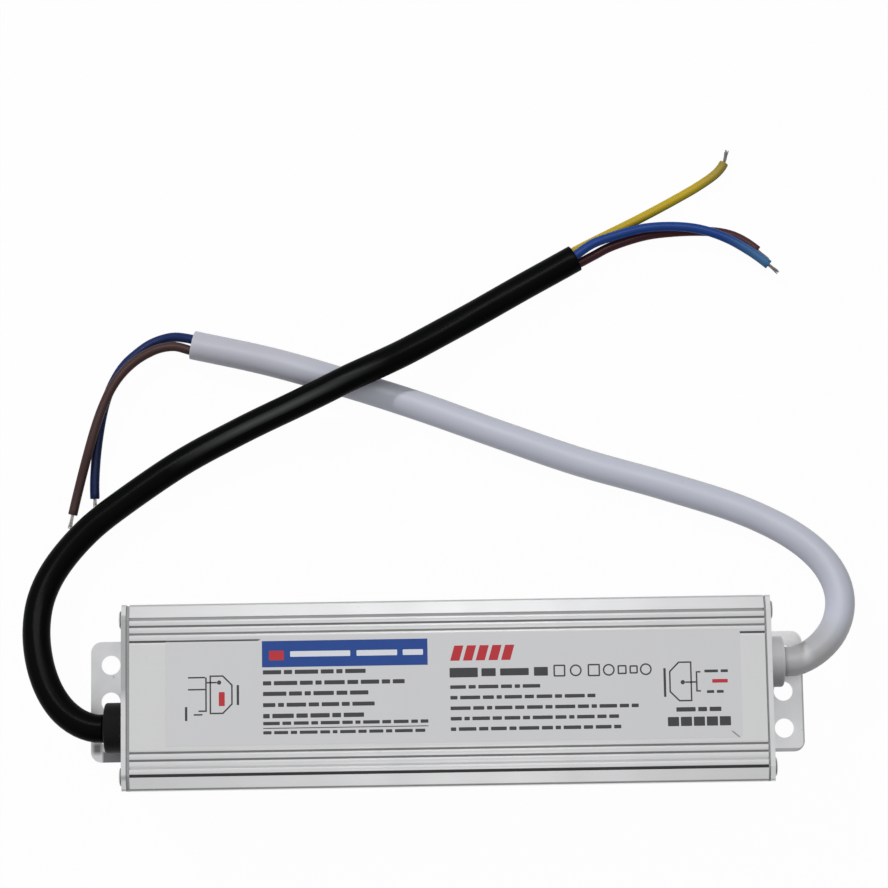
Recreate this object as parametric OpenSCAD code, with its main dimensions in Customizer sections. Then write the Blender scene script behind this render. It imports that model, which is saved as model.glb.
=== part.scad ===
// Slim sealed power supply for low-voltage lighting.
// An extruded aluminium tube is closed by two folded end plates with mounting feet.
// A three-core mains lead leaves the left end and a two-core output lead the right end.
// +X runs along the tube, +Y to the rear, +Z up; the origin is under the middle of the case.

/* [Housing] */
// Length of the aluminium extrusion
body_len = 160; // [150:1:220]
// Width of the extrusion
body_w = 46.8; // [44:0.1:60]
// Height of the extrusion
body_h = 29; // [27:0.5:40]
// Thickness of the side walls
side_wall = 1.6; // [1.2:0.1:2]
// Thickness of the top wall
top_wall = 2; // [1.6:0.1:2.6]
// Thickness of the floor
floor_t = 1.8; // [1.4:0.1:2.4]
// Width of the sloping shoulder outside the edge groove
shoulder_w = 3.8; // [2.8:0.1:4.5]
// How far the shoulder drops towards the side
shoulder_drop = 1.1; // [0.4:0.1:2]
// Radius of the long outer edges
edge_r = 0.9; // [0.4:0.1:1.4]

/* [Grooves] */
// Fine grooves on each side of the top face
groove_count = 3; // [1:1:5]
// Distance between neighbouring grooves
groove_pitch = 1.9; // [1.7:0.05:2.4]
// Width of a fine groove
groove_w = 0.5; // [0.3:0.05:0.8]
// Depth of a fine groove
groove_depth = 0.6; // [0.3:0.05:1]
// Width of the groove beside the shoulder
edge_groove_w = 0.75; // [0.4:0.05:1]
// Depth of the groove beside the shoulder
edge_groove_depth = 0.9; // [0.4:0.05:1.1]
// Width of the sloping lip along each side of a groove
groove_lip = 0.45; // [0.1:0.05:0.45]
// How far a lip drops into its groove
lip_drop = 0.16; // [0.05:0.01:0.25]
// Grooves along each side wall
side_groove_count = 3; // [0:1:4]
// Distance between the side grooves
side_groove_pitch = 4; // [3:0.5:5]
// Width of a side groove
side_groove_w = 0.8; // [0.4:0.1:1.2]
// Depth of a side groove
side_groove_depth = 0.5; // [0.2:0.1:0.7]

/* [Screw ports] */
// Distance of the screw ports from the side of the tube
port_inset_y = 3.65; // [3.4:0.05:4.2]
// Distance of the screw ports from the top and the bottom
port_inset_z = 4.1; // [3.7:0.1:4.2]
// Outside diameter of a screw port
port_d = 5.2; // [4.8:0.1:5.6]
// Width of the slit along each screw port
port_slit = 1.2; // [0.6:0.1:1.8]

/* [End plates] */
// Thickness of the sheet metal
plate_t = 1.2; // [0.8:0.1:2]
// Inside radius of the fold
fold_r = 0.8; // [0.5:0.1:2]
// Width of a mounting foot
foot_w = 31.4; // [28:0.2:34]
// How far a foot stands out from its plate
foot_len = 11.2; // [10.2:0.1:16]
// Radius of the foot's outer corners
foot_corner_r = 2.8; // [1:0.1:4]
// Width of the relief cut beside the fold
relief_w = 1; // [0.6:0.1:2]
// Diameter of the mounting holes
foot_hole_d = 5; // [3:0.1:5.6]
// Distance between the mounting holes
foot_hole_pitch = 9.6; // [8:0.1:11]
// Distance of the mounting holes from the plate's outer face
foot_hole_inset = 6; // [5.2:0.1:7.5]
// Thickness of the gasket at the mains end
input_gasket_t = 0.9; // [0.5:0.1:1.5]
// Thickness of the gasket at the output end
output_gasket_t = 0.5; // [0.4:0.1:1.5]
// Width of the gasket along the top and the bottom
gasket_rim = 2.6; // [2:0.1:3.4]

/* [Screws] */
// Diameter of the end plate screws
screw_d = 2.9; // [2.5:0.1:3]
// Length of a screw below its head
screw_len = 9; // [6:0.5:14]
// Diameter of a screw head
screw_head_d = 4.7; // [4.2:0.1:5.4]
// Height of a screw head
screw_head_h = 0.8; // [0.8:0.1:2]
// Width of the cross recess
recess_w = 0.7; // [0.5:0.1:1]
// Depth of the cross recess
recess_depth = 0.5; // [0.3:0.1:0.7]

/* [Leads] */
// Height of both leads' exits
gland_z = 14.5; // [13:0.5:16]
// Place of the mains lead across the plate
mains_y = -7.2; // [-8.5:0.1:0]
// Place of the output lead across the plate
output_y = 7.1; // [0:0.1:8.5]
// Diameter of the mains lead
mains_d = 7.3; // [6.4:0.1:8]
// Diameter of the output lead
output_d = 7.7; // [6.4:0.1:8]
// Diameter of a core's insulation
core_d = 2.5; // [2:0.1:2.5]
// Diameter of both strain relief heads
bush_head_d = 13; // [11.5:0.1:15]
// Length of the mains strain relief's head
mains_bush_len = 5.7; // [3:0.1:8]
// Length of the output strain relief's head
output_bush_len = 4.4; // [3:0.1:8]
// Radius of the strain relief heads' outer edges
bush_edge_r = 0.7; // [0.3:0.1:1.5]
// Diameter of the strain reliefs' necks in the plates
bush_neck_d = 9.8; // [9.2:0.1:11]
// How far the strain reliefs' collars grip behind the plates
collar_grip = 0.7; // [0.4:0.1:1]
// Length of the strain reliefs' collars
collar_len = 2.4; // [1:0.1:3]

/* [Label] */
// Length of the label
label_len = 144.6; // [100:0.2:148]
// Width of the label
label_w = 27.2; // [20:0.2:28]
// Thickness of the label
label_t = 0.12; // [0.08:0.01:0.3]
// Label's offset along the housing
label_x = 1.4; // [-2:0.1:2]
// Label's offset towards the rear
label_y = 1.2; // [-2:0.1:2]
// Radius of the label's corners
label_r = 0.8; // [0.2:0.1:3]

/* [Circuit board] */
// Thickness of the board
board_t = 1.6; // [1:0.1:2]
// Height of the rails that carry the board
rail_z = 6.9; // [6.8:0.1:7.4]
// Thickness of a rail
rail_t = 1; // [0.8:0.1:1.4]
// How far the rails stand out from the side walls
rail_reach = 1.7; // [1.2:0.1:2.2]
// Space between the board's end and the end of the tube
board_end_gap = 5; // [4:0.5:8]
// Thickness of the insulating sheet on the floor
sheet_t = 0.4; // [0.2:0.05:0.6]

/* [Components] */
// Diameter of the fuse's case
fuse_d = 8.4; // [6:0.1:9]
// Height of the fuse's case
fuse_h = 7.8; // [5:0.1:10]
// Diameter of the varistor
varistor_d = 10; // [7:0.5:11]
// Thickness of the varistor
varistor_t = 4.4; // [3:0.1:5]
// Diameter of the thermistor
thermistor_d = 9; // [6:0.5:10]
// Thickness of the thermistor
thermistor_t = 4; // [3:0.1:4.6]
// Length of the suppression capacitor
x_cap_len = 18; // [12:0.5:19]
// Thickness of the suppression capacitor
x_cap_t = 8; // [5:0.5:9]
// Height of the suppression capacitor
x_cap_h = 13.5; // [9:0.5:14]
// Outside diameter of the choke's ring core
choke_d = 13; // [11:0.5:13.5]
// Bore of the choke's ring core
choke_bore = 6.4; // [5.6:0.2:7]
// Height of the choke's ring core
choke_h = 6.5; // [4:0.5:8]
// Thickness of the choke's windings
choke_wire = 1.2; // [0.6:0.1:1.3]
// Length of the bridge rectifier
bridge_len = 15; // [12:0.5:15]
// Height of the bridge rectifier
bridge_h = 10.5; // [8:0.5:12]
// Thickness of the bridge rectifier
bridge_t = 3.6; // [3:0.1:4]
// Diameter of the bulk capacitors
bulk_cap_d = 12.5; // [10:0.5:13]
// Length of the bulk capacitors
bulk_cap_len = 20; // [15:0.5:20.5]
// Length of the transformer core along the housing
ferrite_len = 22; // [20:0.5:23]
// Width of the transformer core
ferrite_w = 21; // [20:0.5:22]
// Thickness of the transformer core
ferrite_t = 6; // [4.5:0.5:6.5]
// Width of the transformer's middle limb
limb_w = 5.6; // [4.5:0.1:6]
// Height of the transformer
transformer_h = 14; // [13:0.5:14.5]
// Width of a power transistor
transistor_w = 10; // [8:0.5:11]
// Thickness of a power transistor
transistor_t = 4.5; // [3.5:0.1:4.6]
// Height of a power transistor
transistor_h = 9.2; // [7:0.2:10]
// Length of the heat spreaders
spreader_len = 26; // [16:1:30]
// Thickness of the heat spreaders
spreader_t = 2; // [1:0.1:2.4]
// Height of the heat spreaders
spreader_h = 10; // [8:0.5:10.4]
// Diameter of the capacitor across the barrier
y_cap_d = 7; // [5:0.5:8]
// Thickness of the capacitor across the barrier
y_cap_t = 3.4; // [2.4:0.1:4]
// Diameter of the output capacitors
output_cap_d = 10; // [8:0.5:10.5]
// Height of the output capacitors
output_cap_h = 14; // [10:0.5:14.5]
// Diameter of the output inductor's spool
spool_d = 9; // [7:0.5:9.5]
// Height of the output inductor's spool
spool_h = 11; // [8:0.5:13]

/* [Hidden] */

// Round shapes are drawn with this many sides
$fn = 48;
// Small overlap that makes a cut break cleanly through a face
cut = 0.5;
// Clearance round the leads in their strain reliefs
lead_clear = 0.1;
// Clearance of the strain reliefs' necks in the plates
neck_clear = 0.1;
// Clearance round the screws in their ports
port_clear = 0.1;
// Clearance round the screws in the plates and the gaskets
plate_clear = 0.3;
// Clearance of the board in its rails and between the side walls
board_clear = 0.2;
// Clearance between the parts of a wound component
wound_clear = 0.15;
// Clearance between the cores inside a lead
core_clear = 0.2;
// Clearance of the heat spreaders beside the upper rails
spreader_clear = 0.4;
// Gap between the two output capacitors
output_cap_gap = 1.2;
// How far the gaskets stay inside the tube's outline
gasket_inset = 0.3;
// How far the sheathed leads reach past their strain reliefs' collars
lead_stub = 1;

// Places along the board, from its mains end
fuse_x = 9;
varistor_x = 17.5;
x_cap_x = 25;
thermistor_x = 29;
choke_x = 38.5;
bridge_x = 40;
bulk_cap_x = 48.5;
y_cap_x = 76;
chip_x = 76;
transformer_x = 81.5;
optocoupler_x = 86;
spreader_x = 95;
transistor_x = 99;
// Places along the board, from its output end
output_cap_x = 19;
output_spreader_x = 26;
spool_x = 31;
output_rectifier_x = 33;
// Places across the board, from its middle line towards the rear
varistor_y = 8;
fuse_y = 10;
x_cap_y = -5;
// Places across the board, from its nearer edge
chip_inset = 6;
thermistor_inset = 7;
y_cap_inset = 7;
bridge_inset = 8;

// Walls of the transformer's bobbin and of the output inductor's spool
former_wall = 0.8;
flange_t = 1;
spool_flange = 1.5;
spool_neck_d = 4;
// How far a winding stays below its former's flanges
winding_drop = 0.6;
// Sizes of the moulded chips
chip_size = [5, 4, 1.6];
optocoupler_size = [6.4, 4.6, 3.4];

half_w = body_w / 2;
mid_x = (input_gasket_t - output_gasket_t) / 2;
tube_x = [mid_x - body_len / 2, mid_x + body_len / 2];
edge_groove_y = half_w - shoulder_w;
inner_w = body_w - 2 * side_wall;
inner_top = body_h - top_wall;
port_y = half_w - port_inset_y;
port_bore = screw_d + 2 * port_clear;
plate_hole_d = screw_d + 2 * plate_clear;
shoulder_slope = atan(shoulder_drop / shoulder_w);
bend_r = fold_r + plate_t;
board_w = inner_w - 2 * board_clear;
board_len = body_len - 2 * board_end_gap;
board_x = [mid_x - board_len / 2, mid_x + board_len / 2];
board_top = rail_z + board_t;
window_len = ferrite_len - limb_w;
window_w = ferrite_w / 2 - limb_w;
mains_mouth_x = tube_x[0] - input_gasket_t - plate_t - mains_bush_len;
output_mouth_x = tube_x[1] + output_gasket_t + plate_t + output_bush_len;

// Where the mains lead lies: out of its strain relief, down to the table, over the output lead
mains_route = [
    [mains_mouth_x, mains_y, gland_z], [-90, mains_y, gland_z], [-94.2, -5.8, 14], [-98.3, -2.9, 13],
    [-101.6, 1.2, 11.8], [-104.1, 6.4, 10.4], [-105.8, 12.5, 8.9], [-106.5, 19, 7.4],
    [-105.9, 25.5, 6], [-103.8, 31.6, 4.9], [-100, 37.8, 4.1], [-93.5, 45, 3.7],
    [-84, 52.4, 3.7], [-69, 62.4, 3.7], [-54, 70.2, 4.7], [-39.5, 76.4, 8.2],
    [-30.5, 80.2, 10.9], [-24.4, 83, 11.8], [-18, 86, 10.9], [-9.5, 90.4, 8.2],
    [5, 98.6, 4.7], [20, 107, 3.7], [35.8, 115.6, 3.7]
];

// Where the output lead lies
output_route = [
    [output_mouth_x, output_y, gland_z], [89.2, output_y, gland_z], [93.2, 8.7, 14], [96.9, 11.4, 13.1],
    [99.8, 14.8, 11.9], [101.7, 18.9, 10.5], [102.4, 23.4, 9.1], [101.6, 28.2, 7.7],
    [99.3, 32.8, 6.5], [95.6, 37.1, 5.4], [90.5, 41.1, 4.5], [84, 44.8, 3.9],
    [75.5, 48.5, 3.9], [57, 54.6, 3.9], [36, 60.9, 3.9], [15, 68.5, 3.9],
    [-6, 76.4, 3.9], [-24, 82.5, 3.9], [-45, 88.9, 3.9], [-65.8, 93.8, 3.9]
];

// The cores fan out from the leads' cut ends
mains_earth_route = [
    [35, 117.1, 2.9], [39.5, 119.6, 2.2], [45, 122.4, 1.5], [53, 126.3, 1.3],
    [62.6, 131.3, 1.3], [70, 135.5, 1.3], [74.6, 138.8, 1.3], [76.6, 141.4, 1.3], [77.5, 144.9, 1.3]
];
mains_neutral_route = [
    [35.7, 115.9, 5.2], [40.5, 119.2, 4.6], [45.4, 121.1, 4.1], [54.8, 123.5, 3.8], [64.1, 123.7, 3.9],
    [70.3, 122.7, 3.9], [76.5, 120.4, 3.8], [81.7, 117.4, 3.7], [85.7, 114.5, 3.7], [89.9, 110.9, 3.6]
];
mains_live_route = [
    [36.6, 114.2, 2.9], [41.1, 116.7, 1.7], [45.5, 119, 1.3], [54.9, 121.9, 1.3], [62.8, 122.8, 1.3],
    [70.5, 122.9, 1.3], [75, 122.5, 1.3], [78.6, 121.5, 1.3], [82.1, 119.6, 1.3], [85.6, 116.8, 1.3],
    [87.6, 114.9, 1.3]
];
output_minus_route = [
    [-65.5, 95.2, 3.9], [-70.8, 96.3, 2.4], [-74.2, 95.9, 1.5], [-77.6, 94.6, 1.3], [-80.9, 92.3, 1.3],
    [-84.2, 89.3, 1.3], [-86.5, 86, 1.3], [-88.6, 81.5, 1.3], [-90, 76.7, 1.3], [-91.5, 67.6, 1.3],
    [-92.2, 58.3, 1.3], [-92.1, 51.4, 1.3]
];
output_plus_route = [
    [-66.2, 92.3, 3.9], [-70.6, 93.5, 3.9], [-74.6, 93.1, 3.9], [-77.9, 91.8, 3.8], [-81.3, 89.7, 3.8],
    [-84.6, 86.6, 3.9], [-87.2, 83, 4], [-89.5, 78.3, 4], [-91.5, 72.8, 4], [-93.6, 65.7, 3.6],
    [-95.7, 58.6, 2], [-97.4, 52, 1.3], [-98.8, 45.7, 1.3]
];

// Rings of a swept tube stand square to the route, with a corner at the top and at each side
function unit(v) = v / norm(v);
function heading(route, i) = unit(route[min(i + 1, len(route) - 1)] - route[max(i - 1, 0)]);
function ring(centre, ahead, r, sides) =
    let (side = unit(cross(ahead, [0, 0, 1])), up = cross(side, ahead))
    [for (k = [0:sides - 1]) centre + r * (cos(360 * k / sides) * side + sin(360 * k / sides) * up)];

// Points of an arc, for an outline
function arc(centre, r, from, to, steps = 4) =
    [for (k = [0:steps]) let (a = from + (to - from) * k / steps) centre + r * [cos(a), sin(a)]];

// A flexible lead as a plain tube along its route, which can start square to the end of another route
module tube(route, d, sides, after = []) {
    rings = len(route);
    start_heading = len(after) > 0 ? heading(after, len(after) - 1) : heading(route, 0);
    points = [
        for (i = [0:rings - 1]) each ring(route[i], i == 0 ? start_heading : heading(route, i), d / 2, sides)
    ];
    walls = [
        for (i = [0:rings - 2]) for (k = [0:sides - 1])
            let (a = i * sides + k, b = i * sides + (k + 1) % sides) [a, b, b + sides, a + sides]
    ];
    start = [for (k = [sides - 1:-1:0]) k];
    end = [for (k = [0:sides - 1]) (rings - 1) * sides + k];
    polyhedron(points = points, faces = concat(walls, [start], [end]), convexity = 6);
}

// Stands a section, drawn across the case, along X from x
module along_x(x, length) {
    translate([x, 0, 0]) rotate([90, 0, 90]) linear_extrude(length) children();
}

// A block that stands on the board, with its middle at x and y
module on_board(x, y, size) {
    translate([x - size[0] / 2, y - size[1] / 2, board_top]) cube(size);
}

// A capacitor's round can, chamfered at its ends and with a rolled neck above its base
module can(d, h) {
    r = d / 2;
    edge = d / 20;
    neck_z = d / 6;
    rotate_extrude()
        polygon([
            [0, 0], [r - edge, 0], [r, edge], [r, neck_z],
            [r - edge, neck_z + edge], [r - edge, neck_z + 2 * edge], [r, neck_z + 3 * edge],
            [r, h - edge], [r - edge, h], [0, h]
        ]);
}

// Outline of the tube's section and of what covers its ends
module outline(inset = 0) {
    w = half_w - inset;
    top = body_h - inset;
    right = concat(
        arc([w - edge_r, inset + edge_r], edge_r, -90, 0),
        arc([w - edge_r, top - shoulder_drop - edge_r], edge_r, 0, 90 - shoulder_slope),
        [[edge_groove_y, top]]
    );
    left = [for (i = [len(right) - 1:-1:0]) [-right[i][0], right[i][1]]];
    polygon(concat(right, left));
}

// What is symmetric is drawn once, with its mirror image across the given direction
module both_sides(across = [1, 0]) {
    children();
    mirror(across) children();
}

module port_places() {
    both_sides() for (z = [port_inset_z, body_h - port_inset_z]) translate([port_y, z]) children();
}

// Section of one groove in the top face, with its middle at y and a lip sloping down into it on each side
module top_groove(y, w, depth, outer_lip) {
    r = w / 2;
    translate([y, body_h])
        polygon([
            [-r - groove_lip, 0], [-r, -lip_drop], [-r, -depth], [r, -depth],
            [r, -lip_drop], [r + outer_lip, 0], [r + outer_lip, cut], [-r - groove_lip, cut]
        ]);
}

// The edge groove meets the shoulder, so it has a lip on its inner side only
module top_grooves() {
    both_sides() {
        for (i = [1:groove_count])
            top_groove(edge_groove_y - i * groove_pitch, groove_w, groove_depth, groove_lip);
        top_groove(edge_groove_y, edge_groove_w, edge_groove_depth, 0);
    }
}

module side_grooves() {
    first_z = (body_h - shoulder_drop - (side_groove_count - 1) * side_groove_pitch) / 2;
    if (side_groove_count > 0)
        both_sides() for (i = [0:side_groove_count - 1])
            translate([half_w - side_groove_depth, first_z + i * side_groove_pitch - side_groove_w / 2])
                square([side_groove_depth + cut, side_groove_w]);
}

// The space inside the tube, less the rails for the board and the screw ports
module cavity() {
    rail_y = inner_w / 2 - rail_reach;
    difference() {
        translate([-inner_w / 2, floor_t]) square([inner_w, inner_top - floor_t]);
        port_places() circle(d = port_d);
        both_sides() for (z = [rail_z - rail_t, board_top + board_clear])
            translate([rail_y, z]) square([rail_reach + cut, rail_t]);
    }
}

// Each port's slit opens towards the middle of the case, so that the die can form its bore
module port_slits() {
    both_sides() for (z = [port_inset_z, body_h - port_inset_z])
        translate([port_y - port_d / 2 - cut, z - port_slit / 2]) square([port_d / 2 + cut, port_slit]);
}

module housing() {
    color("silver") along_x(tube_x[0], body_len) difference() {
        outline();
        cavity();
        top_grooves();
        side_grooves();
        port_places() circle(d = port_bore);
        port_slits();
    }
}

// Flat pattern of a foot: rounded at its free corners, with a row of holes
module foot_pattern() {
    r = foot_corner_r;
    free_y = foot_w / 2 - r;
    difference() {
        union() {
            translate([bend_r, -foot_w / 2]) square([plate_t + foot_len - bend_r - r, foot_w]);
            translate([plate_t + foot_len - r, -free_y]) square([r, 2 * free_y]);
            for (y = [-free_y, free_y]) translate([plate_t + foot_len - r, y]) circle(r = r);
        }
        for (i = [-1:1]) translate([plate_t + foot_hole_inset, i * foot_hole_pitch]) circle(d = foot_hole_d);
    }
}

// One folded plate, drawn for the output end with its inner face at x = 0
module end_plate(lead_y) {
    along_x(0, plate_t) difference() {
        outline();
        port_places() circle(d = plate_hole_d);
        translate([lead_y, gland_z]) circle(d = bush_neck_d + 2 * neck_clear);
        translate([-foot_w / 2 - relief_w, -cut]) square([foot_w + 2 * relief_w, bend_r + cut]);
    }
    rotate([90, 0, 0]) translate([0, 0, -foot_w / 2]) linear_extrude(foot_w)
        translate([bend_r, bend_r]) difference() {
            circle(r = bend_r);
            circle(r = fold_r);
            translate([0, -bend_r - cut]) square([bend_r + cut, 2 * (bend_r + cut)]);
            translate([-bend_r - cut, 0]) square([2 * (bend_r + cut), bend_r + cut]);
        }
    linear_extrude(plate_t) foot_pattern();
}

module input_end_plate() {
    color("gainsboro") translate([tube_x[0] - input_gasket_t, 0, 0]) mirror([1, 0, 0]) end_plate(mains_y);
}

module output_end_plate() {
    color("gainsboro") translate([tube_x[1] + output_gasket_t, 0, 0]) end_plate(output_y);
}

// A rubber frame between the tube and an end plate, wide enough to seal round the screws
module gasket(x, thickness) {
    open_w = 2 * (port_y - port_d / 2);
    color("dimgray") along_x(x, thickness) difference() {
        outline(gasket_inset);
        translate([-open_w / 2, gasket_rim]) square([open_w, body_h - 2 * gasket_rim]);
        port_places() circle(d = plate_hole_d);
    }
}

module input_gasket() {
    gasket(tube_x[0] - input_gasket_t, input_gasket_t);
}

module output_gasket() {
    gasket(tube_x[1], output_gasket_t);
}

// A pan head screw with a cross recess, its head's underside at x = 0 and its tip towards -X
module screw() {
    head_r = screw_head_d / 2;
    rim = screw_head_h / 3;
    dome = screw_head_h - rim;
    translate([-screw_len, 0, 0]) rotate([0, 90, 0]) cylinder(d = screw_d, h = screw_len);
    difference() {
        rotate([0, 90, 0])
            rotate_extrude()
                polygon(concat(
                    [[0, 0], [head_r, 0]],
                    [for (a = [0:30:90]) [head_r - dome * (1 - cos(a)), rim + dome * sin(a)]],
                    [[0, screw_head_h]]
                ));
        for (turn = [0, 90])
            rotate([turn, 0, 0]) translate([screw_head_h - recess_depth, -screw_d / 2, -recess_w / 2])
                cube([recess_depth + cut, screw_d, recess_w]);
    }
}

module screws() {
    for (y = [-port_y, port_y], z = [port_inset_z, body_h - port_inset_z]) translate([0, y, z]) screw();
}

module input_screws() {
    color("lightgray") translate([tube_x[0] - input_gasket_t - plate_t, 0, 0]) mirror([1, 0, 0]) screws();
}

module output_screws() {
    color("lightgray") translate([tube_x[1] + output_gasket_t + plate_t, 0, 0]) screws();
}

// A moulded strain relief, its head's inner face at x = 0 and its head towards +X
module strain_relief(head_len, lead_d) {
    bore = lead_d / 2 + lead_clear;
    head = bush_head_d / 2;
    neck = bush_neck_d / 2;
    collar = neck + collar_grip;
    tail = plate_t + collar_len;
    rotate([0, 90, 0])
        rotate_extrude()
            polygon(concat(
                [[bore, -tail], [neck, -tail], [collar, -plate_t - collar_len / 2], [collar, -plate_t]],
                [[neck, -plate_t], [neck, 0], [head, 0]],
                arc([head - bush_edge_r, head_len - bush_edge_r], bush_edge_r, 0, 90),
                [[bore, head_len]]
            ));
}

module mains_strain_relief() {
    color("#202020") translate([tube_x[0] - input_gasket_t - plate_t, mains_y, gland_z])
        mirror([1, 0, 0]) strain_relief(mains_bush_len, mains_d);
}

module output_strain_relief() {
    color("lightgray") translate([tube_x[1] + output_gasket_t + plate_t, output_y, gland_z])
        strain_relief(output_bush_len, output_d);
}

module label() {
    span = [label_len / 2 - label_r, label_w / 2 - label_r];
    color("gainsboro") translate([mid_x + label_x, label_y, body_h]) linear_extrude(label_t) {
        square([2 * span[0], label_w], center = true);
        square([label_len, 2 * span[1]], center = true);
        for (i = [-1, 1], j = [-1, 1]) translate([i * span[0], j * span[1]]) circle(r = label_r);
    }
}

// The sheathed stretch inside a strain relief, from its mouth to just behind its collar
function inside_len(head_len) = head_len + plate_t + collar_len + lead_stub;

module lead_inside(mouth_x, lead_y, lead_d, head_len, towards) {
    translate([mouth_x, lead_y, gland_z])
        rotate([0, towards * 90, 0]) cylinder(d = lead_d, h = inside_len(head_len));
}

module mains_lead_inside() {
    color("#202020") lead_inside(mains_mouth_x, mains_y, mains_d, mains_bush_len, 1);
}

module output_lead_inside() {
    color("whitesmoke") lead_inside(output_mouth_x, output_y, output_d, output_bush_len, -1);
}

// One inner core: straight into the case from a sheath's end, round an elbow and down to the board
module inner_core(from, run, turn) {
    bend = core_d;
    drop = from[2] - bend - board_top;
    translate(from) rotate([0, 0, turn]) {
        rotate([0, 90, 0]) cylinder(d = core_d, h = run - bend);
        translate([run - bend, 0, -bend]) rotate([90, 0, 0])
            rotate_extrude(angle = 90) translate([bend, 0]) circle(d = core_d);
        translate([run, 0, -bend - drop]) cylinder(d = core_d, h = drop);
    }
}

// The three cores lie in a triangle in the lead, the live one on top, which runs on past the others
module mains_inner_cores() {
    start_x = mains_mouth_x + inside_len(mains_bush_len);
    spread = (core_d + core_clear) / sqrt(3);
    for (core = [[90, 11, "saddlebrown"], [210, 6, "royalblue"], [330, 6, "gold"]]) {
        y = mains_y + spread * cos(core[0]);
        z = gland_z + spread * sin(core[0]);
        color(core[2]) inner_core([start_x, y, z], core[1], 0);
    }
}

module output_inner_cores() {
    start_x = output_mouth_x - inside_len(output_bush_len);
    run = 6;
    spread = (core_d + core_clear) / 2;
    for (core = [[-spread, "saddlebrown"], [spread, "royalblue"]])
        color(core[1]) inner_core([start_x, output_y + core[0], gland_z], run, 180);
}

module circuit_board() {
    hole_d = 3.2;
    hole_inset = 4;
    color("darkgreen") translate([0, 0, rail_z]) linear_extrude(board_t) difference() {
        translate([board_x[0], -board_w / 2]) square([board_len, board_w]);
        for (x = [board_x[0] + hole_inset, board_x[1] - hole_inset], y = [-1, 1])
            translate([x, y * (board_w / 2 - rail_reach - hole_inset)]) circle(d = hole_d);
    }
}

// The film that keeps the solder side off the floor lies between the lower screw ports
module insulating_sheet() {
    width = 2 * (port_y - port_d / 2 - board_clear);
    color("ivory") translate([board_x[0], -width / 2, floor_t]) cube([board_len, width, sheet_t]);
}

module fuse() {
    step = 1;
    color("black") translate([board_x[0] + fuse_x, fuse_y, board_top]) {
        cylinder(d = fuse_d, h = fuse_h - step);
        translate([0, 0, fuse_h - step]) cylinder(d = fuse_d - step, h = step);
    }
}

// A disc that stands on its edge on the board, flattened where it stands
module standing_disc(x, y, d, t, turn) {
    foot_cut = d / 12;
    intersection() {
        translate([x, y, board_top + d / 2 - foot_cut])
            rotate([90, 0, turn]) translate([0, 0, -t / 2]) cylinder(d = d, h = t);
        on_board(x, y, [2 * d, 2 * d, 2 * d]);
    }
}

module varistor() {
    color("navy") standing_disc(board_x[0] + varistor_x, varistor_y, varistor_d, varistor_t, 90);
}

module thermistor() {
    y = board_w / 2 - thermistor_inset;
    color("darkolivegreen") standing_disc(board_x[0] + thermistor_x, y, thermistor_d, thermistor_t, 0);
}

module y_capacitor() {
    color("steelblue") standing_disc(board_x[0] + y_cap_x, board_w / 2 - y_cap_inset, y_cap_d, y_cap_t, 0);
}

module x_capacitor() {
    shell = 0.8;
    x = board_x[0] + x_cap_x;
    color("gold") {
        on_board(x, x_cap_y, [x_cap_t, x_cap_len, x_cap_h - shell]);
        translate([0, 0, x_cap_h - shell]) on_board(x, x_cap_y, [x_cap_t - shell, x_cap_len - shell, shell]);
    }
}

// The choke's ring lies flat, lifted by the windings that pass under it
module choke_stand() {
    height = board_top + choke_h / 2 + choke_wire + wound_clear;
    translate([board_x[0] + choke_x, 0, height]) children();
}

// Section of the choke's ring core, grown by a margin all round
module choke_section(margin) {
    translate([choke_bore / 2 - margin, -choke_h / 2 - margin])
        square([(choke_d - choke_bore) / 2 + 2 * margin, choke_h + 2 * margin]);
}

module choke_core() {
    color("darkslategray") choke_stand() rotate_extrude() choke_section(0);
}

// Two windings face each other across the ring
module choke_windings() {
    sweep = 130;
    color("peru") choke_stand()
        for (side = [0, 180]) rotate([0, 0, side - sweep / 2])
            rotate_extrude(angle = sweep) difference() {
                choke_section(wound_clear + choke_wire);
                choke_section(wound_clear);
            }
}

// One upper corner of the bridge rectifier is cut off to mark its first lead
module bridge_rectifier() {
    corner = 2.4;
    y = -board_w / 2 + bridge_inset + bridge_t / 2;
    color("#303030") translate([board_x[0] + bridge_x - bridge_len / 2, y, board_top])
        rotate([90, 0, 0]) linear_extrude(bridge_t)
            polygon([
                [0, 0], [bridge_len, 0], [bridge_len, bridge_h], [corner, bridge_h], [0, bridge_h - corner]
            ]);
}

// The bulk capacitors lie on the board side by side, with their rolled necks towards the mains end
module bulk_capacitors() {
    r = bulk_cap_d / 2;
    color("midnightblue") for (side = [-1, 1])
        translate([board_x[0] + bulk_cap_x, side * (r + wound_clear), board_top + r])
            rotate([0, 90, 0]) can(bulk_cap_d, bulk_cap_len);
}

// The transformer's middle, with its winding's axis along the housing
module transformer_middle() {
    translate([board_x[0] + transformer_x, 0, board_top + transformer_h / 2]) children();
}

// The core is a frame with a middle limb, and its outer limbs are half as wide
module transformer_core() {
    color("#3a3a3a") transformer_middle()
        translate([0, 0, -ferrite_t / 2]) linear_extrude(ferrite_t) difference() {
            square([ferrite_len, ferrite_w], center = true);
            both_sides([0, 1]) translate([-window_len / 2, limb_w / 2]) square([window_len, window_w]);
        }
}

// A block round the transformer's middle limb
module round_limb(length, reach_y, reach_z) {
    cube([length, 2 * reach_y, 2 * reach_z], center = true);
}

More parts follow.
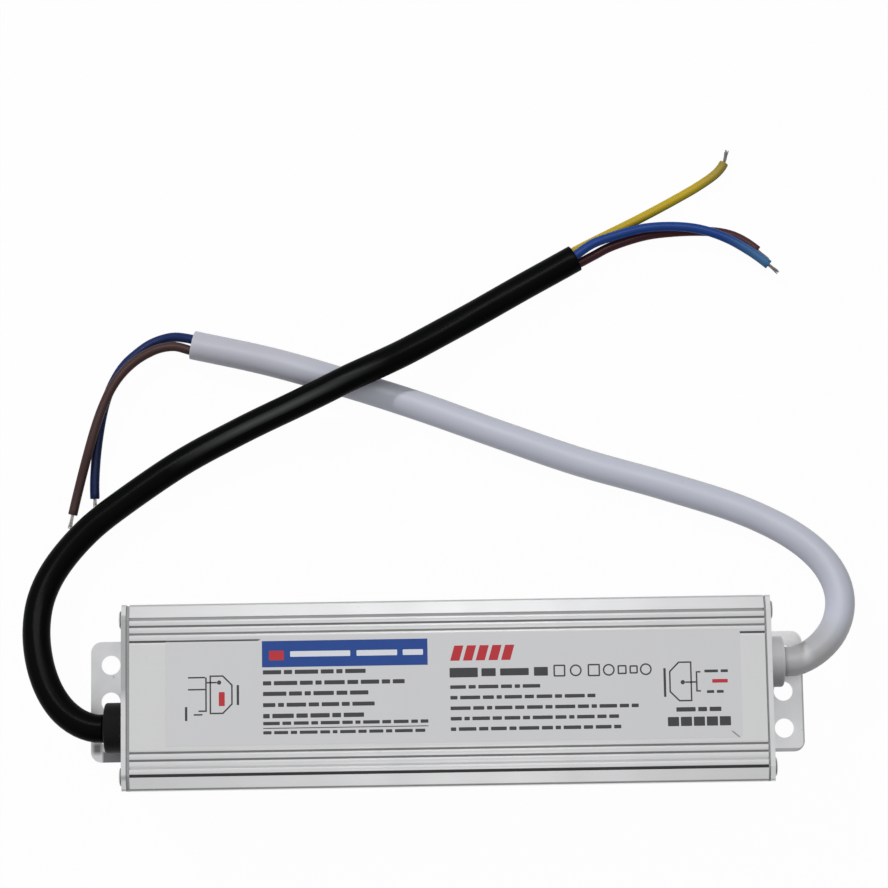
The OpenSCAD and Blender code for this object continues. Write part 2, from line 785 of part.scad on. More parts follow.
module transformer_bobbin() {
    bore_y = limb_w / 2 + wound_clear;
    bore_z = ferrite_t / 2 + wound_clear;
    length = window_len - 2 * wound_clear;
    flange_y = limb_w / 2 + window_w - wound_clear;
    color("black") transformer_middle() difference() {
        union() {
            round_limb(length, bore_y + former_wall, bore_z + former_wall);
            for (side = [-1, 1]) translate([side * (length - flange_t) / 2, 0, 0])
                round_limb(flange_t, flange_y, transformer_h / 2);
        }
        round_limb(ferrite_len, bore_y, bore_z);
    }
}

module transformer_winding() {
    start_y = limb_w / 2 + 2 * wound_clear + former_wall;
    start_z = ferrite_t / 2 + 2 * wound_clear + former_wall;
    end_y = limb_w / 2 + window_w - 3 * wound_clear;
    length = window_len - 4 * wound_clear - 2 * flange_t;
    color("khaki") transformer_middle() difference() {
        round_limb(length, end_y, transformer_h / 2 - winding_drop);
        round_limb(ferrite_len, start_y, start_z);
    }
}

// Heat spreaders stand on the board beside the upper rails, with a power transistor on the inner face
function spreader_face() = inner_w / 2 - rail_reach - spreader_clear;

module heat_spreader(x, side) {
    on_board(x, side * (spreader_face() - spreader_t / 2), [spreader_len, spreader_t, spreader_h]);
}

module power_transistor(x, side) {
    y = spreader_face() - spreader_t - transistor_t / 2;
    on_board(x, side * y, [transistor_w, transistor_t, transistor_h]);
}

module input_heat_spreader() {
    color("silver") heat_spreader(board_x[0] + spreader_x, 1);
}

module switching_transistor() {
    color("#303030") power_transistor(board_x[0] + transistor_x, 1);
}

module output_heat_spreader() {
    color("silver") heat_spreader(board_x[1] - output_spreader_x, -1);
}

module output_rectifier() {
    color("#303030") power_transistor(board_x[1] - output_rectifier_x, -1);
}

module control_chip() {
    color("black") on_board(board_x[0] + chip_x, chip_inset - board_w / 2, chip_size);
}

module optocoupler() {
    color("black") on_board(board_x[0] + optocoupler_x, chip_inset - board_w / 2, optocoupler_size);
}

module output_inductor_core() {
    r = spool_d / 2;
    neck = spool_neck_d / 2;
    upper = spool_h - spool_flange;
    color("#3a3a3a") translate([board_x[1] - spool_x, 0, board_top])
        rotate_extrude()
            polygon([
                [0, 0], [r, 0], [r, spool_flange], [neck, spool_flange],
                [neck, upper], [r, upper], [r, spool_h], [0, spool_h]
            ]);
}

module output_inductor_winding() {
    color("peru") translate([board_x[1] - spool_x, 0, board_top + spool_flange + wound_clear])
        difference() {
            cylinder(d = spool_d - winding_drop, h = spool_h - 2 * (spool_flange + wound_clear));
            translate([0, 0, -cut]) cylinder(d = spool_neck_d + 2 * wound_clear, h = spool_h);
        }
}

module output_capacitors() {
    color("darkgreen") for (side = [-1, 1])
        translate([board_x[1] - output_cap_x, side * (output_cap_d + output_cap_gap) / 2, board_top])
            can(output_cap_d, output_cap_h);
}

module mains_sheath() {
    color("#202020") tube(mains_route, mains_d, 12);
}

module mains_live_core() {
    color("saddlebrown") tube(mains_live_route, core_d, 8, mains_route);
}

module mains_neutral_core() {
    color("royalblue") tube(mains_neutral_route, core_d, 8, mains_route);
}

module mains_earth_core() {
    color("gold") tube(mains_earth_route, core_d, 8, mains_route);
}

module output_sheath() {
    color("whitesmoke") tube(output_route, output_d, 12);
}

module output_plus_core() {
    color("saddlebrown") tube(output_plus_route, core_d, 8, output_route);
}

module output_minus_core() {
    color("royalblue") tube(output_minus_route, core_d, 8, output_route);
}

housing();
input_end_plate();
output_end_plate();
input_gasket();
output_gasket();
input_screws();
output_screws();
mains_strain_relief();
output_strain_relief();
label();
mains_lead_inside();
output_lead_inside();
mains_inner_cores();
output_inner_cores();
circuit_board();
insulating_sheet();
fuse();
varistor();
thermistor();
x_capacitor();
choke_core();
choke_windings();
bridge_rectifier();
bulk_capacitors();
transformer_core();
transformer_bobbin();
transformer_winding();
switching_transistor();
input_heat_spreader();
y_capacitor();
control_chip();
optocoupler();
output_rectifier();
output_heat_spreader();
output_inductor_core();
output_inductor_winding();
output_capacitors();
mains_sheath();
mains_live_core();
mains_neutral_core();
mains_earth_core();
output_sheath();
output_plus_core();
output_minus_core();
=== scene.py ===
"""Dresses the sealed power supply: its leads, print, finishes, floor, lights and camera.
Sizes are in metres. Those of the label's print are in millimetres."""

import math

import bmesh
import bpy
from mathutils import Matrix, Vector


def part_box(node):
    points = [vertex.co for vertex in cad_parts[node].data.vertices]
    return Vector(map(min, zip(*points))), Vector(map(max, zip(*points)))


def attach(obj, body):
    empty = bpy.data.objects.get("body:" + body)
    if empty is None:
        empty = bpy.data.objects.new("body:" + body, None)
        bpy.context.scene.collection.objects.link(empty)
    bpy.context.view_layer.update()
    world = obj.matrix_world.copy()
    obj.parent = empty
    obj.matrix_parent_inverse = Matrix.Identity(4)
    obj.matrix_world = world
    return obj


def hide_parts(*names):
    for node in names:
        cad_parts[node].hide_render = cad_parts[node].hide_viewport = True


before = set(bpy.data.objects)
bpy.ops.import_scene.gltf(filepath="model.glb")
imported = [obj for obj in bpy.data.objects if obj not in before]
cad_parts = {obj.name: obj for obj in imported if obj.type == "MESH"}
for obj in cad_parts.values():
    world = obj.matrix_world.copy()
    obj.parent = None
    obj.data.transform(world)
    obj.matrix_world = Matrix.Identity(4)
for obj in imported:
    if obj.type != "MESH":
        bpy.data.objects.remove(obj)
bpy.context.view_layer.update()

MM = 0.001

# Both leads and their cores, as the part's source lays them
MAINS_LEAD_D = 0.0073
OUTPUT_LEAD_D = 0.0077
CORE_D = 0.0025
MAINS_ROUTE = [
    (-0.0876, -0.0072, 0.0145), (-0.09, -0.0072, 0.0145), (-0.0942, -0.0058, 0.014), (-0.0983, -0.0029, 0.013),
    (-0.1016, 0.0012, 0.0118), (-0.1041, 0.0064, 0.0104), (-0.1058, 0.0125, 0.0089), (-0.1065, 0.019, 0.0074),
    (-0.1059, 0.0255, 0.006), (-0.1038, 0.0316, 0.0049), (-0.1, 0.0378, 0.0041), (-0.0935, 0.045, 0.0037),
    (-0.084, 0.0524, 0.0037), (-0.069, 0.0624, 0.0037), (-0.054, 0.0702, 0.0047), (-0.0395, 0.0764, 0.0082),
    (-0.0305, 0.0802, 0.0109), (-0.0244, 0.083, 0.0118), (-0.018, 0.086, 0.0109), (-0.0095, 0.0904, 0.0082),
    (0.005, 0.0986, 0.0047), (0.02, 0.107, 0.0037), (0.0358, 0.1156, 0.0037),
]
OUTPUT_ROUTE = [
    (0.0863, 0.0071, 0.0145), (0.0892, 0.0071, 0.0145), (0.0932, 0.0087, 0.014), (0.0969, 0.0114, 0.0131),
    (0.0998, 0.0148, 0.0119), (0.1017, 0.0189, 0.0105), (0.1024, 0.0234, 0.0091), (0.1016, 0.0282, 0.0077),
    (0.0993, 0.0328, 0.0065), (0.0956, 0.0371, 0.0054), (0.0905, 0.0411, 0.0045), (0.084, 0.0448, 0.0039),
    (0.0755, 0.0485, 0.0039), (0.057, 0.0546, 0.0039), (0.036, 0.0609, 0.0039), (0.015, 0.0685, 0.0039),
    (-0.006, 0.0764, 0.0039), (-0.024, 0.0825, 0.0039), (-0.045, 0.0889, 0.0039), (-0.0658, 0.0938, 0.0039),
]
MAINS_EARTH_ROUTE = [
    (0.035, 0.1171, 0.0029), (0.0395, 0.1196, 0.0022), (0.045, 0.1224, 0.0015), (0.053, 0.1263, 0.0013),
    (0.0626, 0.1313, 0.0013), (0.07, 0.1355, 0.0013), (0.0746, 0.1388, 0.0013), (0.0766, 0.1414, 0.0013),
    (0.0775, 0.1449, 0.0013),
]
MAINS_NEUTRAL_ROUTE = [
    (0.0357, 0.1159, 0.0052), (0.0405, 0.1192, 0.0046), (0.0454, 0.1211, 0.0041), (0.0548, 0.1235, 0.0038),
    (0.0641, 0.1237, 0.0039), (0.0703, 0.1227, 0.0039), (0.0765, 0.1204, 0.0038), (0.0817, 0.1174, 0.0037),
    (0.0857, 0.1145, 0.0037), (0.0899, 0.1109, 0.0036),
]
MAINS_LIVE_ROUTE = [
    (0.0366, 0.1142, 0.0029), (0.0411, 0.1167, 0.0017), (0.0455, 0.119, 0.0013), (0.0549, 0.1219, 0.0013),
    (0.0628, 0.1228, 0.0013), (0.0705, 0.1229, 0.0013), (0.075, 0.1225, 0.0013), (0.0786, 0.1215, 0.0013),
    (0.0821, 0.1196, 0.0013), (0.0856, 0.1168, 0.0013), (0.0876, 0.1149, 0.0013),
]
OUTPUT_MINUS_ROUTE = [
    (-0.0655, 0.0952, 0.0039), (-0.0708, 0.0963, 0.0024), (-0.0742, 0.0959, 0.0015), (-0.0776, 0.0946, 0.0013),
    (-0.0809, 0.0923, 0.0013), (-0.0842, 0.0893, 0.0013), (-0.0865, 0.086, 0.0013), (-0.0886, 0.0815, 0.0013),
    (-0.09, 0.0767, 0.0013), (-0.0915, 0.0676, 0.0013), (-0.0922, 0.0583, 0.0013), (-0.0921, 0.0514, 0.0013),
]
OUTPUT_PLUS_ROUTE = [
    (-0.0662, 0.0923, 0.0039), (-0.0706, 0.0935, 0.0039), (-0.0746, 0.0931, 0.0039), (-0.0779, 0.0918, 0.0038),
    (-0.0813, 0.0897, 0.0038), (-0.0846, 0.0866, 0.0039), (-0.0872, 0.083, 0.004), (-0.0895, 0.0783, 0.004),
    (-0.0915, 0.0728, 0.004), (-0.0936, 0.0657, 0.0036), (-0.0957, 0.0586, 0.002), (-0.0974, 0.052, 0.0013),
    (-0.0988, 0.0457, 0.0013),
]


# The camera, fitted to the corners of the case, the feet and their holes in the photograph

CAMERA_ELEVATION, CAMERA_AZIMUTH, CAMERA_ROLL = 82.37, 0.266, -0.665
CAMERA_TARGET = Vector((0.00026, 0.066796, 0))
CAMERA_DISTANCE = 0.697497
FOCAL_PX, PHOTO_WIDTH_PX = 2629.338, 888


def set_camera():
    """Looks down on the case from a little in front of straight above, as the photograph does."""
    elevation, azimuth, roll = (math.radians(a) for a in (CAMERA_ELEVATION, CAMERA_AZIMUTH, CAMERA_ROLL))
    ahead = Vector((
        math.cos(elevation) * math.sin(azimuth), math.cos(elevation) * math.cos(azimuth), -math.sin(elevation)
    ))
    level = ahead.cross(Vector((0, 0, 1))).normalized()
    upward = level.cross(ahead)
    right = math.cos(roll) * level + math.sin(roll) * upward
    up = math.cos(roll) * upward - math.sin(roll) * level
    lens = bpy.data.cameras.new("photo_camera")
    lens.lens = FOCAL_PX / PHOTO_WIDTH_PX * lens.sensor_width
    camera = bpy.data.objects.new("photo_camera", lens)
    turn = Matrix((right, up, -ahead)).transposed().to_4x4()
    camera.matrix_world = Matrix.Translation(CAMERA_TARGET - CAMERA_DISTANCE * ahead) @ turn
    bpy.context.scene.collection.objects.link(camera)
    bpy.context.scene.camera = camera


set_camera()


# Nodes that the finishes, the floor and the room are built from

def calculate(tree, operation, *values, kind="Math", result="Value"):
    """The result of a new math node that works on the values, each a number or another node's output."""
    node = tree.nodes.new("ShaderNode" + kind)
    node.operation = operation
    for socket, value in zip(node.inputs, values):
        if isinstance(value, bpy.types.NodeSocket):
            tree.links.new(value, socket)
        else:
            socket.default_value = value
    return node.outputs[result]


def remap(tree, value, start, end, low=0, high=1):
    """A value that runs from low to high while the given one runs from start to end."""
    node = tree.nodes.new("ShaderNodeMapRange")
    for name, limit in (("From Min", start), ("From Max", end), ("To Min", low), ("To Max", high)):
        node.inputs[name].default_value = limit
    tree.links.new(value, node.inputs["Value"])
    return node.outputs["Result"]


def own_place(tree):
    """The object's own coordinates."""
    return tree.nodes.new("ShaderNodeTexCoord").outputs["Object"]


def one_axis(tree, place, axis):
    """One coordinate of a place."""
    split = tree.nodes.new("ShaderNodeSeparateXYZ")
    tree.links.new(place, split.inputs[0])
    return split.outputs[axis]


def grey_ramp(tree, value, stops, interpolation="LINEAR"):
    """A grey that follows the value from stop to stop, each a (value, grey)."""
    node = tree.nodes.new("ShaderNodeValToRGB")
    node.color_ramp.interpolation = interpolation
    elements = node.color_ramp.elements
    while len(elements) < len(stops):
        elements.new(1)
    for element, (position, grey) in zip(elements, stops):
        element.position = position
        element.color = (grey, grey, grey, 1)
    tree.links.new(value, node.inputs[0])
    return node.outputs[0]


# Effects that the finishes share

def new_group(name, inputs):
    """An empty shader node group with its inputs, as (name, default), and one output, Mask."""
    group = bpy.data.node_groups.new(name, "ShaderNodeTree")
    for label, default in inputs:
        kind = "NodeSocketVector" if isinstance(default, tuple) else "NodeSocketFloat"
        socket = group.interface.new_socket(name=label, in_out="INPUT", socket_type=kind)
        socket.default_value = default
    group.interface.new_socket(name="Mask", in_out="OUTPUT", socket_type="NodeSocketFloat")
    return group, group.nodes.new("NodeGroupInput").outputs, group.nodes.new("NodeGroupOutput").inputs["Mask"]


def stretched_noise(group, given):
    """Noise on the object's own coordinates, drawn out by the group's Stretch, at its Scale."""
    place, stretch = own_place(group), given["Stretch"]
    drawn = calculate(group, "MULTIPLY", place, stretch, kind="VectorMath", result="Vector")
    pattern = group.nodes.new("ShaderNodeTexNoise")
    group.links.new(drawn, pattern.inputs["Vector"])
    group.links.new(given["Scale"], pattern.inputs["Scale"])
    return pattern


def make_grain():
    """Fine noise over the whole surface."""
    group, given, mask = new_group("grain", [("Stretch", (1, 1, 1)), ("Scale", 400), ("Detail", 4)])
    pattern = stretched_noise(group, given)
    group.links.new(given["Detail"], pattern.inputs["Detail"])
    group.links.new(pattern.outputs["Fac"], mask)
    return group


def make_marks():
    """Sparse scuffs and dust: noise that only shows above a threshold."""
    group, given, mask = new_group(
        "marks", [("Stretch", (1, 1, 1)), ("Scale", 120), ("Threshold", 0.62), ("Softness", 0.06)]
    )
    pattern = stretched_noise(group, given)
    pattern.inputs["Detail"].default_value = 6
    pattern.inputs["Roughness"].default_value = 0.6
    above = calculate(group, "SUBTRACT", pattern.outputs["Fac"], given["Threshold"])
    share = calculate(group, "DIVIDE", above, given["Softness"])
    share.node.use_clamp = True
    group.links.new(share, mask)
    return group


def make_turns():
    """Wound wire: round ridges at a given pitch along the given direction."""
    group, given, mask = new_group("turns", [("Direction", (1, 0, 0)), ("Pitch", 0.0004)])
    along = calculate(group, "DOT_PRODUCT", own_place(group), given["Direction"], kind="VectorMath")
    half_turns = calculate(group, "MULTIPLY", calculate(group, "DIVIDE", along, given["Pitch"]), math.pi)
    wave = calculate(group, "SINE", half_turns)
    group.links.new(calculate(group, "ABSOLUTE", wave), mask)
    return group


GRAIN, MARKS, TURNS = make_grain(), make_marks(), make_turns()

# The UV map of the leads and cores
LEAD_MAP = "round_and_along"


class Finish:
    """One material: a Principled surface whose colour, roughness and relief are built up by masks."""

    def __init__(self, name, colour, roughness, metallic=0, **fixed):
        self.material = bpy.data.materials.new(name)
        self.material.use_nodes = True
        self.tree = self.material.node_tree
        self.link = self.tree.links.new
        self.surface = self.tree.nodes["Principled BSDF"]
        self.surface.inputs["Base Color"].default_value = (*colour, 1)
        self.surface.inputs["Roughness"].default_value = roughness
        self.surface.inputs["Metallic"].default_value = metallic
        for socket, value in fixed.items():
            self.surface.inputs[socket.replace("_", " ")].default_value = value
        self.material.diffuse_color = (*colour, 1)

    def effect(self, group, **values):
        """Places a shared effect with its own values and gives its mask."""
        node = self.tree.nodes.new("ShaderNodeGroup")
        node.node_tree = group
        for name, value in values.items():
            node.inputs[name].default_value = value
        return node.outputs["Mask"]

    def tint(self, mask, colour, share=1):
        """Mixes another colour in where the mask is 1."""
        mix = self.tree.nodes.new("ShaderNodeMix")
        mix.data_type = "RGBA"
        self.link(calculate(self.tree, "MULTIPLY", mask, share), mix.inputs["Factor"])
        base = self.surface.inputs["Base Color"]
        if base.links:
            self.link(base.links[0].from_socket, mix.inputs["A"])
        else:
            mix.inputs["A"].default_value = base.default_value[:]
        mix.inputs["B"].default_value = (*colour, 1)
        self.link(mix.outputs["Result"], base)
        return self

    def roughen(self, mask, low, high):
        """Lets the roughness run from low to high with the mask."""
        self.link(remap(self.tree, mask, 0, 1, low, high), self.surface.inputs["Roughness"])
        return self

    def mottle(self, shade, share, low, high, **grain):
        """Lets colour and roughness vary together in soft patches, and gives their mask."""
        patches = self.effect(GRAIN, **grain)
        self.tint(patches, shade, share).roughen(patches, low, high)
        return patches

    def relief(self, mask, height, strength=1):
        """Raises the surface by the mask, height in metres."""
        bump = self.tree.nodes.new("ShaderNodeBump")
        bump.inputs["Strength"].default_value = strength
        bump.inputs["Distance"].default_value = height
        self.link(mask, bump.inputs["Height"])
        normal = self.surface.inputs["Normal"]
        if normal.links:
            self.link(normal.links[0].from_socket, bump.inputs["Normal"])
        self.link(bump.outputs["Normal"], normal)
        return self

    def place(self, axis):
        """The object's own coordinate along one axis."""
        return one_axis(self.tree, own_place(self.tree), axis)

    def along(self, direction):
        """How far the object's own coordinates lie along a direction."""
        return calculate(self.tree, "DOT_PRODUCT", own_place(self.tree), direction, kind="VectorMath")

    def lead_map(self, axis):
        """Where a point is on its lead: X is how far round from 0 to 1, Y how far along in metres."""
        lead_map = self.tree.nodes.new("ShaderNodeUVMap")
        lead_map.uv_map = LEAD_MAP
        return one_axis(self.tree, lead_map.outputs["UV"], axis)

    def fade(self, socket, start, end):
        """A mask that runs from 0 at start to 1 at end."""
        return remap(self.tree, socket, start, end)

    def both(self, first, second):
        """The product of two masks."""
        return calculate(self.tree, "MULTIPLY", first, second)

    def band(self, socket, start, end, edge):
        """A mask that is 1 where the value lies between start and end."""
        return self.both(
            self.fade(socket, start - edge, start + edge), self.fade(socket, end + edge, end - edge)
        )

    def stripes(self, socket, low, high, shares):
        """A mask in steps: each share holds from its own place on, as (place, share)."""
        stops = [((place - low) / (high - low), share) for place, share in shares]
        return grey_ramp(self.tree, self.fade(socket, low, high), stops, "CONSTANT")


# Half the tube's width and its top, and the top of the feet
TUBE_SIDE, TUBE_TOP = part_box("housing")[1].yz
FOOT_TOP = 0.0012

# Where the outermost grooves end, and how much painted shade darkens each groove from its front side on, as
# (y, share)
GROOVES_END, PAINTED_SHADE_END = 0.01999, 0.021
PAINTED_GROOVE_SHADE = (
    (-PAINTED_SHADE_END, 0.95), (-0.01865, 0.1), (-0.01675, 0.7), (-0.01485, 0.68),
    (0, 0.85), (0.01485, 0.6), (0.01675, 0.72), (0.01865, 0.4),
)


def extruded_aluminium():
    """Clear anodised extrusion: die lines along the tube, a soft mottle, a few handling marks, and painted
    shade in its grooves and along its long edges.
    """
    finish = Finish("extruded_aluminium", (0.8, 0.805, 0.81), 0.42, metallic=1)
    die_lines = finish.effect(GRAIN, Stretch=(0.02, 1, 1), Scale=2600, Detail=3)
    cloud = finish.effect(GRAIN, Stretch=(1, 0.25, 1), Scale=60, Detail=3)
    scuffs = finish.effect(MARKS, Stretch=(0.5, 1, 1), Scale=260, Threshold=0.68, Softness=0.05)
    finish.tint(cloud, (0.72, 0.725, 0.735), 0.45).tint(die_lines, (0.9, 0.9, 0.9), 0.2)
    finish.tint(scuffs, (0.62, 0.62, 0.63), 0.5)
    paint_groove_shade(finish)
    return finish.roughen(cloud, 0.36, 0.5).relief(die_lines, 0.00003, 0.35)


def paint_groove_shade(finish):
    """Painted shade in the grooves of the top, and a painted dark line of shade along each of the tube's long
    edges.
    """
    across = finish.place("Y")
    below_top = finish.fade(finish.place("Z"), TUBE_TOP - 0.00012, TUBE_TOP - 0.0002)
    in_groove = finish.both(below_top, finish.band(across, -GROOVES_END, GROOVES_END, 0.00001))
    # Painted shade: the groove floors are darkened, each groove by its own share.
    groove_shade = finish.stripes(across, -PAINTED_SHADE_END, PAINTED_SHADE_END, PAINTED_GROOVE_SHADE)
    finish.tint(finish.both(in_groove, groove_shade), (0.03, 0.03, 0.032))
    # Painted shade: a dark line along each long edge, stronger at the front.
    for low, high, share in (
        (-TUBE_SIDE + 0.00015, -TUBE_SIDE + 0.0006, 0.6), (TUBE_SIDE - 0.00055, TUBE_SIDE - 0.0002, 0.2),
    ):
        finish.tint(finish.band(across, low, high, 0.00008), (0.12, 0.12, 0.125), share)


def sheet_aluminium():
    """Bright rolled sheet of the end plates."""
    finish = Finish("sheet_aluminium", (0.83, 0.835, 0.84), 0.34, metallic=1)
    rolling = finish.effect(GRAIN, Stretch=(1, 0.06, 1), Scale=1800, Detail=3)
    cloud = finish.effect(GRAIN, Scale=160, Detail=5)
    scuffs = finish.effect(MARKS, Scale=420, Threshold=0.66, Softness=0.05)
    finish.tint(cloud, (0.66, 0.665, 0.68), 0.5).tint(scuffs, (0.5, 0.5, 0.51), 0.6)
    darken_mains_rim(finish)
    paint_bush_shadow_on_foot(finish)
    paint_output_foot_light_and_shade(finish)
    return finish.roughen(cloud, 0.26, 0.46).relief(rolling, 0.00003, 0.3)


def darken_mains_rim(finish):
    """The mains plate's rim is darker along its rear half and at its front corner."""
    mains_end = finish.fade(finish.place("X"), 0.001, -0.001)
    rim = finish.both(finish.fade(finish.place("Z"), TUBE_TOP - 0.0005, TUBE_TOP - 0.00025), mains_end)
    for start, end in ((-0.0012, 0.0022), (-0.019, -0.0198)):
        finish.tint(finish.both(rim, finish.fade(finish.place("Y"), start, end)), (0.36, 0.365, 0.37), 0.65)


def paint_bush_shadow_on_foot(finish):
    """A painted shadow of the black bush on the mains foot beside it."""
    x, y, z = (finish.place(axis) for axis in "XYZ")
    low = finish.fade(z, 0.0045, 0.003)
    for ends, sides, edge in (
        ((-0.09, -0.082), (-0.02, -0.0129), 0.0003), ((-0.0926, -0.0903), (-0.0134, -0.0107), 0.0006),
    ):
        bush_shadow = finish.both(finish.band(x, *ends, edge), finish.band(y, *sides, edge))
        # Painted shadow: darkens the foot's face in two patches beside the bush.
        finish.tint(finish.both(bush_shadow, low), (0.1, 0.1, 0.105), 0.86)


def paint_output_foot_light_and_shade(finish):
    """The output foot: painted light at its rear, painted shade in its middle, in front of the bush, and a
    dark line round its front end.
    """
    x, y, z = (finish.place(axis) for axis in "XYZ")
    foot = finish.both(finish.fade(z, FOOT_TOP + 0.0004, FOOT_TOP + 0.0001), finish.fade(x, 0.0846, 0.0848))
    rear = finish.fade(y, 0.006, 0.011)
    middle = finish.band(y, -0.0085, 0.001, 0.0015)
    # Painted light: brightens the rear of the foot.
    finish.tint(finish.both(foot, rear), (1, 1, 1), 0.9)
    # Painted shade: darkens the middle of the foot.
    finish.tint(finish.both(foot, middle), (0.6, 0.605, 0.615), 0.45)
    end = finish.both(finish.fade(x, 0.0926, 0.0928), finish.fade(y, 0.008, 0.004))
    corner = finish.fade(finish.along((0.7071, -0.7071, 0)), 0.0753, 0.0755)
    front = finish.fade(y, -0.0147, -0.0149)
    for line in (end, corner, front):
        finish.tint(finish.both(foot, line), (0.3, 0.3, 0.31), 0.7)


def milled_aluminium():
    """Milled bar of the heat spreaders, with the cutter's lines along it."""
    finish = Finish("milled_aluminium", (0.77, 0.775, 0.78), 0.38, metallic=1)
    lines = finish.mottle((0.68, 0.68, 0.69), 0.4, 0.3, 0.45, Stretch=(0.03, 1, 1), Scale=2400, Detail=3)
    return finish.relief(lines, 0.00003, 0.4)


def plated_steel():
    """Nickel plated screws, with painted shade round their heads where they meet the plates."""
    finish = Finish("plated_steel", (0.7, 0.69, 0.67), 0.28, metallic=1)
    cloud = finish.effect(GRAIN, Scale=900, Detail=4)
    wear = finish.effect(MARKS, Scale=700, Threshold=0.6, Softness=0.08)
    finish.tint(cloud, (0.6, 0.59, 0.58), 0.5).tint(wear, (0.5, 0.49, 0.48), 0.4)
    heads_from, heads_to = 0.0815, 0.0824
    # Painted shade: darkens the heads, which stand out from the plates' outer faces.
    for low, high in ((-heads_to, -heads_from), (heads_from, heads_to)):
        finish.tint(finish.band(finish.place("X"), low, high, 0.00005), (0.12, 0.12, 0.12), 0.8)
    return finish.roughen(cloud, 0.22, 0.4)


def seal_rubber():
    """Grey silicone of the end plates' gaskets."""
    finish = Finish("seal_rubber", (0.29, 0.295, 0.3), 0.65)
    pores = finish.effect(GRAIN, Scale=2400, Detail=5)
    dust = finish.effect(MARKS, Scale=500, Threshold=0.58, Softness=0.1)
    finish.tint(pores, (0.34, 0.34, 0.345), 0.5).tint(dust, (0.42, 0.42, 0.41), 0.3)
    return finish.relief(pores, 0.00004, 0.4)


def lead_jacket(name, colour, bloom, roughness, gloss):
    """Extruded PVC of a lead's sheath: fine orange peel, a faint bloom and a few rub marks along it."""
    finish = Finish(name, colour, roughness, Specular_IOR_Level=gloss)
    peel = finish.effect(GRAIN, Scale=1500, Detail=3)
    cloud = finish.effect(GRAIN, Scale=90, Detail=3)
    rubs = finish.effect(MARKS, Scale=300, Threshold=0.64, Softness=0.06)
    finish.tint(cloud, bloom, 0.35).tint(rubs, bloom, 0.5)
    return finish.roughen(cloud, roughness - 0.05, roughness + 0.1).relief(peel, 0.00003, 0.35)


def black_jacket():
    """The mains lead's sheath, with a painted highlight on top where it rises over the other lead."""
    finish = lead_jacket("black_jacket", (0.0025, 0.0027, 0.0028), (0.0045, 0.0047, 0.0048), 0.25, 0.015)
    top = finish.band(finish.lead_map("X"), 0.15, 0.205, 0.035)
    rise = finish.band(finish.lead_map("Y"), 0.105, 0.146, 0.012)
    # Painted highlight: a grey band along the top of the rise.
    return finish.tint(finish.both(top, rise), (0.076, 0.08, 0.08), 0.9)


def pale_jacket():
    """The output lead's sheath: painted shade along its outer side, by the case and in its bend, painted light
    on the inner side of its root, and darker towards its cut end.
    """
    finish = lead_jacket("pale_jacket", (0.5, 0.52, 0.597), (0.46, 0.475, 0.55), 0.4, 0.15)
    turn, along = finish.lead_map("X"), finish.lead_map("Y")
    # Painted shade along the outer side.
    finish.tint(finish.band(turn, 0.035, 0.175, 0.05), (0.48, 0.48, 0.49), 0.7)
    # Painted shade near the case.
    finish.tint(finish.fade(along, 0.02, 0.011), (0.4, 0.4, 0.405), 0.85)
    # Painted light on the inner side of the root, by the bush.
    root = finish.both(finish.band(turn, 0.2, 0.7, 0.06), finish.fade(along, 0.0075, 0.0045))
    finish.tint(root, (0.7, 0.7, 0.71), 0.85)
    # Painted shade in the bend.
    finish.tint(finish.band(along, 0.024, 0.046, 0.006), (0.44, 0.455, 0.525), 0.6)
    # Darker towards the cut end.
    return finish.tint(finish.fade(along, 0.15, 0.2), (0.43, 0.43, 0.485), 0.8)


def moulding(name, colour, bloom, roughness, gloss):
    """Moulded strain reliefs, spark-eroded texture."""
    finish = Finish(name, colour, roughness, Specular_IOR_Level=gloss)
    eroded = finish.effect(GRAIN, Scale=2800, Detail=4)
    cloud = finish.effect(GRAIN, Scale=200, Detail=3)
    finish.tint(cloud, bloom, 0.4).roughen(eroded, roughness - 0.06, roughness + 0.1)
    return finish.relief(eroded, 0.00004, 0.5)


def grey_moulding():
    """The output bush, with painted shade on its front side."""
    finish = moulding("grey_moulding", (0.8, 0.805, 0.82), (0.72, 0.725, 0.74), 0.42, 0.4)
    # Painted shade: the front side is darkened.
    return finish.tint(finish.fade(finish.place("Y"), 0.0085, 0.0012), (0.15, 0.15, 0.16), 0.92)


def core_insulation(name, colour, shade, tip_tone, tip_from):
    """Smooth PVC of a core, slightly uneven in tone, and of another tone from tip_from metres on."""
    finish = Finish(name, colour, 0.4, Specular_IOR_Level=0.08)
    cloud = finish.effect(GRAIN, Scale=260, Detail=3)
    peel = finish.effect(GRAIN, Scale=2600, Detail=2)
    tip = finish.fade(finish.lead_map("Y"), tip_from, tip_from + 0.012)
    finish.tint(cloud, shade, 0.6).tint(tip, tip_tone, 0.8)
    return finish.roughen(cloud, 0.35, 0.5).relief(peel, 0.00002, 0.3)


def earth_insulation():
    """Yellow core with a green stripe along its front side."""
    finish = core_insulation(
        "earth_insulation", (0.47, 0.34, 0.018), (0.38, 0.27, 0.015), (0.22, 0.17, 0.06), 0.04
    )
    for start, end in ((0.78, 1.01), (-0.01, 0.085)):
        finish.tint(finish.band(finish.lead_map("X"), start, end, 0.006), (0.05, 0.14, 0.025), 0.9)
    return finish


